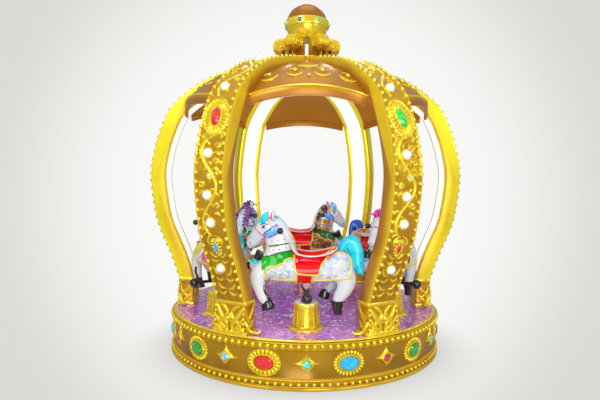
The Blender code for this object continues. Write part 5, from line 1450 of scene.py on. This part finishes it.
def makeTack(number):  # saddle, blanket, bands, neck plates and bridle
    livery, look = liveries[number], horseLook
    names = ("saddle", "band", "blanket", "plates", "dots", "line", "bridle", "strap", "maneEdge")
    names = sorted({"white", "trim", "gold", "pink", "navy", "black", "purple", *livery["cheek"],
                    *[livery[name] for name in names]})
    parts = MeshParts()

    def put(shape, colour):
        parts.add(shape, names.index(colour))

    def trim(points, side, radius, lift, colour, count=40, flat=1.0):
        put(trimShape(points, side, radius, lift, count, flat), colour)

    def cord(places, side, lift, wide, high, colour, sides=8):
        spots, normals = drape(places, side, lift)
        put(sweepShape(spots, wide, high, normals, sides), colour)

    def dot(place, side, lift, ball, colour, first=(1, 0, 0), second=(0, 0, 1)):
        spots, normals = drape([place], side, lift)
        put(copyShape(ballShape(*ball), spots, first, second, normals), colour)

    saddle, rim = saddleShape(look)
    put(saddle, livery["saddle"])
    put(sweepShape(smoothPath(rimPath(rim), 150), 0.007, 0.006, (0, 0, 1), 8), "white")
    for side in (-1, 1):
        edge = [(x, z) for x, z in look["flap"][2:]]
        cord(smoothPath(edge, 70), side, 0.016, 0.0065, 0.0055, "trim")
        trim([(0.086, 0.872), (0.0, 0.87), (-0.1, 0.868)], side, 0.0022, 0.0155, "pink")
        # blanket behind and before the saddle, with a raised gilt edge
        xs = np.linspace(-0.07, -0.322, 26)
        lows = np.interp(-xs, [0.07, 0.32], [0.738, 0.764])
        highs = np.interp(-xs, [0.07, 0.1, 0.125, 0.161, 0.2, 0.25, 0.29, 0.322],
                          [0.8, 0.83, 0.872, 0.905, 0.93, 0.938, 0.928, 0.9])
        put(slabShape(bandPlaces(xs, lows, highs, 12), side, 0.007), livery["blanket"])
        trim([(-0.03, 0.738), (-0.16, 0.742), (-0.3, 0.756), (-0.322, 0.764)], side, 0.007, 0.006, "trim")
        trim([(-0.322, 0.762), (-0.326, 0.82), (-0.322, 0.9)], side, 0.007, 0.006, "trim")
        steps = np.linspace(0, 1, 70)
        top = np.interp(-0.1 - 0.222 * steps, [-0.322, -0.29, -0.25, -0.2, -0.161, -0.125, -0.1],
                        [0.9, 0.928, 0.938, 0.93, 0.905, 0.872, 0.836])
        scallops = np.stack([-0.1 - 0.222 * steps, top + 0.008 * np.abs(np.sin(steps * pi * 6)) - 0.004], -1)
        cord(scallops, side, 0.006, 0.0068, 0.0055, "trim")
        xs = np.linspace(0.3, 0.07, 22)
        lows = np.full(22, 0.738)
        highs = np.interp(-xs, [-0.3, -0.285, -0.254, -0.22, -0.181, -0.161, -0.115, -0.07],
                          [0.8, 0.815, 0.84, 0.842, 0.852, 0.88, 0.892, 0.885])
        put(slabShape(bandPlaces(xs, lows, highs, 10), side, 0.007), livery["blanket"])
        trim([(0.304, 0.744), (0.22, 0.737), (0.07, 0.74)], side, 0.007, 0.006, "trim")
        trim([(0.304, 0.742), (0.308, 0.8)], side, 0.0085, 0.005, "trim", 12)
        puffs = [(0.306, 0.802), (0.292, 0.826), (0.262, 0.84), (0.236, 0.834), (0.222, 0.842), (0.196, 0.858),
                 (0.176, 0.862), (0.166, 0.88), (0.14, 0.896), (0.112, 0.894), (0.09, 0.886)]
        trim(puffs, side, 0.0072, 0.006, "trim", 60)
        xs = np.linspace(0.335, 0.105, 24)
        lows = np.interp(-xs, [-0.335, -0.3, -0.254, -0.181, -0.161, -0.105],
                         [0.815, 0.806, 0.842, 0.856, 0.884, 0.89])
        highs = np.interp(-xs, [-0.335, -0.234, -0.105], [0.897, 0.923, 0.95])
        put(slabShape(bandPlaces(xs, lows, highs, 8), side, 0.0075), livery["band"])
        trim([(0.338, 0.899), (0.234, 0.925), (0.108, 0.952)], side, 0.003, 0.008, "black")
        # cloud curls on the blanket
        for x, z, size, start in look["curls"]:
            shade = "white" if livery["blanket"] == "cloudWhite" else livery["line"]
            cord(curl((x, z), size, start, 0.85, 0.3, 18), side, 0.008, 0.0062, 0.005, shade, 6)
            cord(curl((x, z), size * 0.72, start, 0.7, 0.35, 14), side, 0.007, 0.0022, 0.0022, "trim", 6)
        # neck plates, with a dark cord between them and round studs
        for frontX, backX, frontLow, backLow, high in ((0.284, 0.148, 0.992, 1.014, 0.048),
                                                       (0.278, 0.132, 0.924, 0.956, 0.044)):
            xs = np.linspace(frontX, backX, 14)
            lows = np.linspace(frontLow, backLow, 14)
            put(slabShape(bandPlaces(xs, lows, lows + high, 5), side, 0.0085), livery["plates"])
            for share in (0.18, 0.5, 0.82):
                x, z = frontX + (backX - frontX) * share, frontLow + (backLow - frontLow) * share + high * 0.5
                dot((x, z), side, 0.0085, ((0.0062, 0.0062, 0.004), 10, 5), livery["dots"])
        trim([(0.286, 0.981), (0.21, 0.993), (0.14, 1.006)], side, 0.0042, 0.004, livery["line"])
        trim([(0.297, 1.052), (0.306, 0.99), (0.292, 0.918)], side, 0.0075, 0.003, "white")
        trim([(0.303, 1.0), (0.3, 0.955)], side, 0.0032, 0.009, livery["line"], 10)
        # cheek panel and straps
        along = np.linspace(0, 1, 12)[None, :, None]
        across = np.linspace(-1, 1, 5)[:, None, None]
        start, end = np.array([0.318, 1.056]), np.array([0.212, 1.12])
        square = np.array([0.52, 0.85])
        wide = np.interp(along, [0, 0.15, 0.8, 1], [0.008, 0.022, 0.026, 0.022])
        put(slabShape(start + (end - start) * along + square * across * wide, side, 0.0075), livery["cheek"][0])
        border = [start - 0.012 * square, start + 0.012 * square, start + 0.2 * (end - start) + 0.026 * square,
                  end - 0.1 * (end - start) + 0.03 * square, end + 0.022 * square]
        trim(border, side, 0.0038, 0.006, livery["cheek"][1])
        border = [start - 0.012 * square, start + 0.25 * (end - start) - 0.027 * square, end - 0.03 * square]
        trim(border, side, 0.0038, 0.006, livery["cheek"][1])
        trim([(0.318, 1.06), (0.326, 1.03), (0.33, 0.996)], side, 0.0042, 0.003, livery["bridle"])
        trim([(0.372, 1.09), (0.345, 1.07), (0.318, 1.06)], side, 0.0042, 0.003, livery["bridle"])
        trim([(-0.228, 0.958), (-0.262, 0.952), (-0.292, 0.944)], side, 0.013, 0.002, livery["strap"], 16, 0.5)
        # eye, brow, nostril and mouth
        dot((0.326, 1.13), side, 0.0, ((0.0125, 0.01, 0.0065), 14, 7), "black", (0.8, 0, -0.6), (0.6, 0, 0.8))
        # a painted highlight: a small white dot on the eye
        dot((0.3285, 1.1335), side, 0.0055, ((0.003, 0.003, 0.002), 8, 5), "white")
        trim([(0.35, 1.136), (0.334, 1.15), (0.312, 1.15), (0.298, 1.142)], side, 0.003, 0.001, "navy", 16)
        trim([(0.346, 1.122), (0.328, 1.116), (0.312, 1.121)], side, 0.0018, 0.001, "navy", 12)
        dot((0.426, 1.004), side, 0.0, ((0.0085, 0.006, 0.004), 12, 6), "purple", (0.5, 0, -0.86), (0.86, 0, 0.5))
        trim([(0.434, 0.985), (0.414, 0.978), (0.398, 0.984)], side, 0.0024, 0.0, "purple", 12)
    for centre, colour in (((0.352, 0, 1.08), livery["bridle"]), ((0.268, 0, 1.14), "trim")):
        put(wrapShape(Vector(centre), (0.66, 0, -0.75), 0.005, 0.001, 0.7, 0.09), colour)
    # girth under the belly, and the rosette at the post's head
    rows = []
    for x in np.linspace(0.074, -0.04, 9):
        spots, _ = hugPoints((x, 0, 0.81), (1, 0, 0), -168, -12, 40, 0.009, 0.22)
        rows.append(spots)
    girth = np.array(rows)
    put(gridShape(girth), livery["saddle"])
    for row in (girth[0], girth[-1]):
        put(sweepShape(row, 0.006, 0.006, (1, 0, 0), 8), "trim")
    put(latheShape([(0.0, 0.712), (0.036, 0.708), (0.04, 0.696), (0.03, 0.682), (0.027, 0.664), (0.021, 0.656),
                    (0.0, 0.656)], 28), "white")
    put(ringShape([(0.0205, 0.668), (0.031, 0.668), (0.033, 0.674), (0.03, 0.68), (0.0205, 0.68)], 24), "pink")
    return parts.mesh(f"tackMesh_{number}", [paints[name] for name in names], 35, 0.6)


def makeHair(number):  # mane, tail, ears and plumes
    livery, look = liveries[number], horseLook
    names = ("mane", "maneEdge", "ear", "inner", "leaf", "tuft", "crown")
    names = sorted({"white", "navy", *livery["tail"], *[livery[name] for name in names if livery[name]]})
    parts = MeshParts()

    def put(shape, colour):
        parts.add(shape, names.index(colour))

    crest = smoothPath(look["crest"], 60)
    for index in range(8 if livery["drop"] else 0):  # locks on both sides of the crest
        x, z = crest[int(index * 7.2) + 2]
        for side in (-1, 1):
            drop = 0.05 + 0.11 * livery["drop"] * (0.75 + 0.25 * sin(index * 1.7))
            sweep = 0.02 + 0.012 * cos(index * 2.1)
            places = [(x + 0.004, z + 0.002), (x + 0.022, z - drop * 0.3), (x + 0.01 + sweep * 0.3, z - drop * 0.65),
                      (x + sweep + 0.012, z - drop)]
            spots, normals = drape(smoothPath(places, 16), side, np.linspace(0.008, 0.01, 16))
            spots[0] = (x - 0.004, side * 0.006, z + 0.006)
            colour = livery["mane"] if index % 3 else livery["maneEdge"]
            put(lockShape(spots, 0.017, 0.01, normals.mean(0), 16, 0.6), colour)
    roll = np.array([(x - 0.002, 0.0, z + 0.004) for x, z in crest])
    put(sweepShape(roll, np.interp(np.linspace(0, 1, 60), [0, 0.1, 0.9, 1], [0.006, 0.014, 0.012, 0.004]), 0.012,
                   (0, 1, 0), 10), livery["mane"])
    put(sweepShape(roll[4:-4] + np.array([0.01, 0.012, 0.004]), 0.0035, 0.0035, (0, 1, 0), 6), livery["maneEdge"])
    put(sweepShape(roll[4:-4] + np.array([0.01, -0.012, 0.004]), 0.0035, 0.0035, (0, 1, 0), 6), livery["maneEdge"])

    path = smoothPath([(x, 0, z, wide) for x, z, wide in look["tail"]], 46)
    middle, wide = path[:, :3], path[:, 3]
    along = np.gradient(middle, axis=0)
    along /= np.linalg.norm(along, axis=1)[:, None]
    inward = np.stack([-along[:, 2], np.zeros(46), along[:, 0]], -1)
    share = np.linspace(0, 1, 46)
    for index, offset in enumerate((-0.72, -0.24, 0.24, 0.72)):  # broad strands side by side
        for side in (-1, 0, 1):
            wave = 0.1 * np.sin(share * 7 + index * 1.3 + side)
            strand = middle + inward * (wide * (offset + wave) * (1 - 0.25 * abs(side)))[:, None]
            strand[:, 1] += side * (0.018 + 0.012 * np.sin(share * pi))
            size = wide * 0.36 * np.interp(share, [0, 0.08, 0.9, 1], [0.5, 1, 0.9, 0.25]) + 0.002
            colour = livery["tail"][1] if (index, side) in ((1, 1), (2, -1), (1, -1)) else livery["tail"][0]
            put(sweepShape(strand, size, size * 0.95, (0, 1, 0), 10), colour)

    for side in (-1, 1):
        base = np.array([0.262, side * 0.034, 1.168])
        up = np.array([-0.12, side * 0.22, 1.0])
        up /= np.linalg.norm(up)
        face = np.array([0.75, side * 0.62, 0.05])
        face -= up * face.dot(up)
        face /= np.linalg.norm(face)
        across = np.cross(face, up)
        put(copyShape(leafShape(0.082, 0.023, 0.011), base, across, face, up), livery["ear"])
        put(copyShape(leafShape(0.062, 0.013, 0.006), base + up * 0.01 + face * 0.011, across, face, up),
            livery["inner"])
        if livery["leaf"]:  # a painted leaf over the brow
            up = np.array([-0.5, side * 0.12, 0.86])
            face = np.array([0.2, side * 0.97, 0.1])
            face -= up * face.dot(up) / up.dot(up)
            put(copyShape(leafShape(0.098, 0.026, 0.01, 0.15), (0.348, side * 0.04, 1.15), np.cross(face, up), face,
                          up), livery["leaf"])
    if livery["tuft"]:
        for side in (-1, 0, 1):
            spots = [(0.33, side * 0.01, 1.172), (0.365, side * 0.022, 1.14), (0.392, side * 0.018, 1.105),
                     (0.405, side * 0.012, 1.072)]
            put(lockShape(spots, 0.013, 0.008, (0.7, 0, 0.7), 16, 0.6), livery["tuft"])
    else:
        for side in (-1, 0, 1):
            spots = [(0.29, side * 0.008, 1.19), (0.33, side * 0.018, 1.172), (0.358, side * 0.016, 1.135)]
            put(lockShape(spots, 0.014, 0.009, (0.7, 0, 0.7), 14, 0.6), livery["mane"])
    if livery["crown"]:  # a curled plume between the ears
        for index in range(11):
            turn = index * 2.4
            reach = 0.01 + 0.0035 * index
            lift = 0.06 - 0.004 * index
            spots = [(0.292, 0, 1.175), (0.292 + reach * cos(turn) * 0.8, reach * sin(turn), 1.19 + lift * 0.8),
                     (0.292 + reach * cos(turn) * 1.5, reach * sin(turn) * 1.5, 1.196 + lift),
                     (0.292 + reach * cos(turn) * 1.9, reach * sin(turn) * 1.9, 1.186 + lift * 0.7)]
            put(lockShape(spots, 0.011, 0.009, (0.3, 0.2, 0.9), 12, 0.5), livery["crown"])
    return parts.mesh(f"hairMesh_{number}", [paints[name] for name in names], 50, 0.6)


def makeHooves():  # flared hooves and the feathers over them
    parts = MeshParts()
    for top, bottom, narrow, broad in horseLook["hooves"]:
        top, bottom = np.array(top), np.array(bottom)
        share = np.array([0.0, 0.06, 0.16, 0.3, 0.75, 0.94, 1.0])
        path = top + (bottom - top) * share[:, None]
        size = np.array([narrow * 0.9, narrow + 0.004, narrow + 0.001, narrow + (broad - narrow) * 0.35,
                         broad * 0.97, broad, broad * 0.93])
        parts.add(sweepShape(path, size * 0.92, size, (1, 0, 0.001), 24))
    parts.add(trimShape([(0.318, 0.7), (0.312, 0.65), (0.292, 0.612), (0.29, 0.59)], 1, 0.01, 0.0, 18))
    return parts.mesh("hoofMesh", [paints["black"]], 40)


hoofMesh = makeHooves()
slots = skinSlots()
for number in range(1, 7):
    spot, azimuth = horsePlaces[number]
    livery = liveries[number]
    skin = MeshParts()
    skin.points, skin.relief, skin.count = [skinPoints], [np.ones(len(skinPoints))], len(skinPoints)
    for slot in (0, 1, 2):
        skin.faces.append(skinFaces[slots == slot])
        skin.slots.append(np.full((slots == slot).sum(), slot))
    body = livery.get("body", "white")
    skinMesh = skin.mesh(f"skinMesh_{number}", [paints[body], paints[livery["head"]], paints[livery["fetlock"]]],
                         180, 0.65)
    rider = f"horse_{number}_set"
    showPiece(f"horseBody_{number}", skinMesh, rider, azimuth, spot, [f"horse_{number}"])
    showPiece(f"horseTack_{number}", makeTack(number), rider, azimuth, spot)
    showPiece(f"horseHair_{number}", makeHair(number), rider, azimuth, spot)
    showPiece(f"horseHooves_{number}", hoofMesh, rider, azimuth, spot)
print("horses ready")
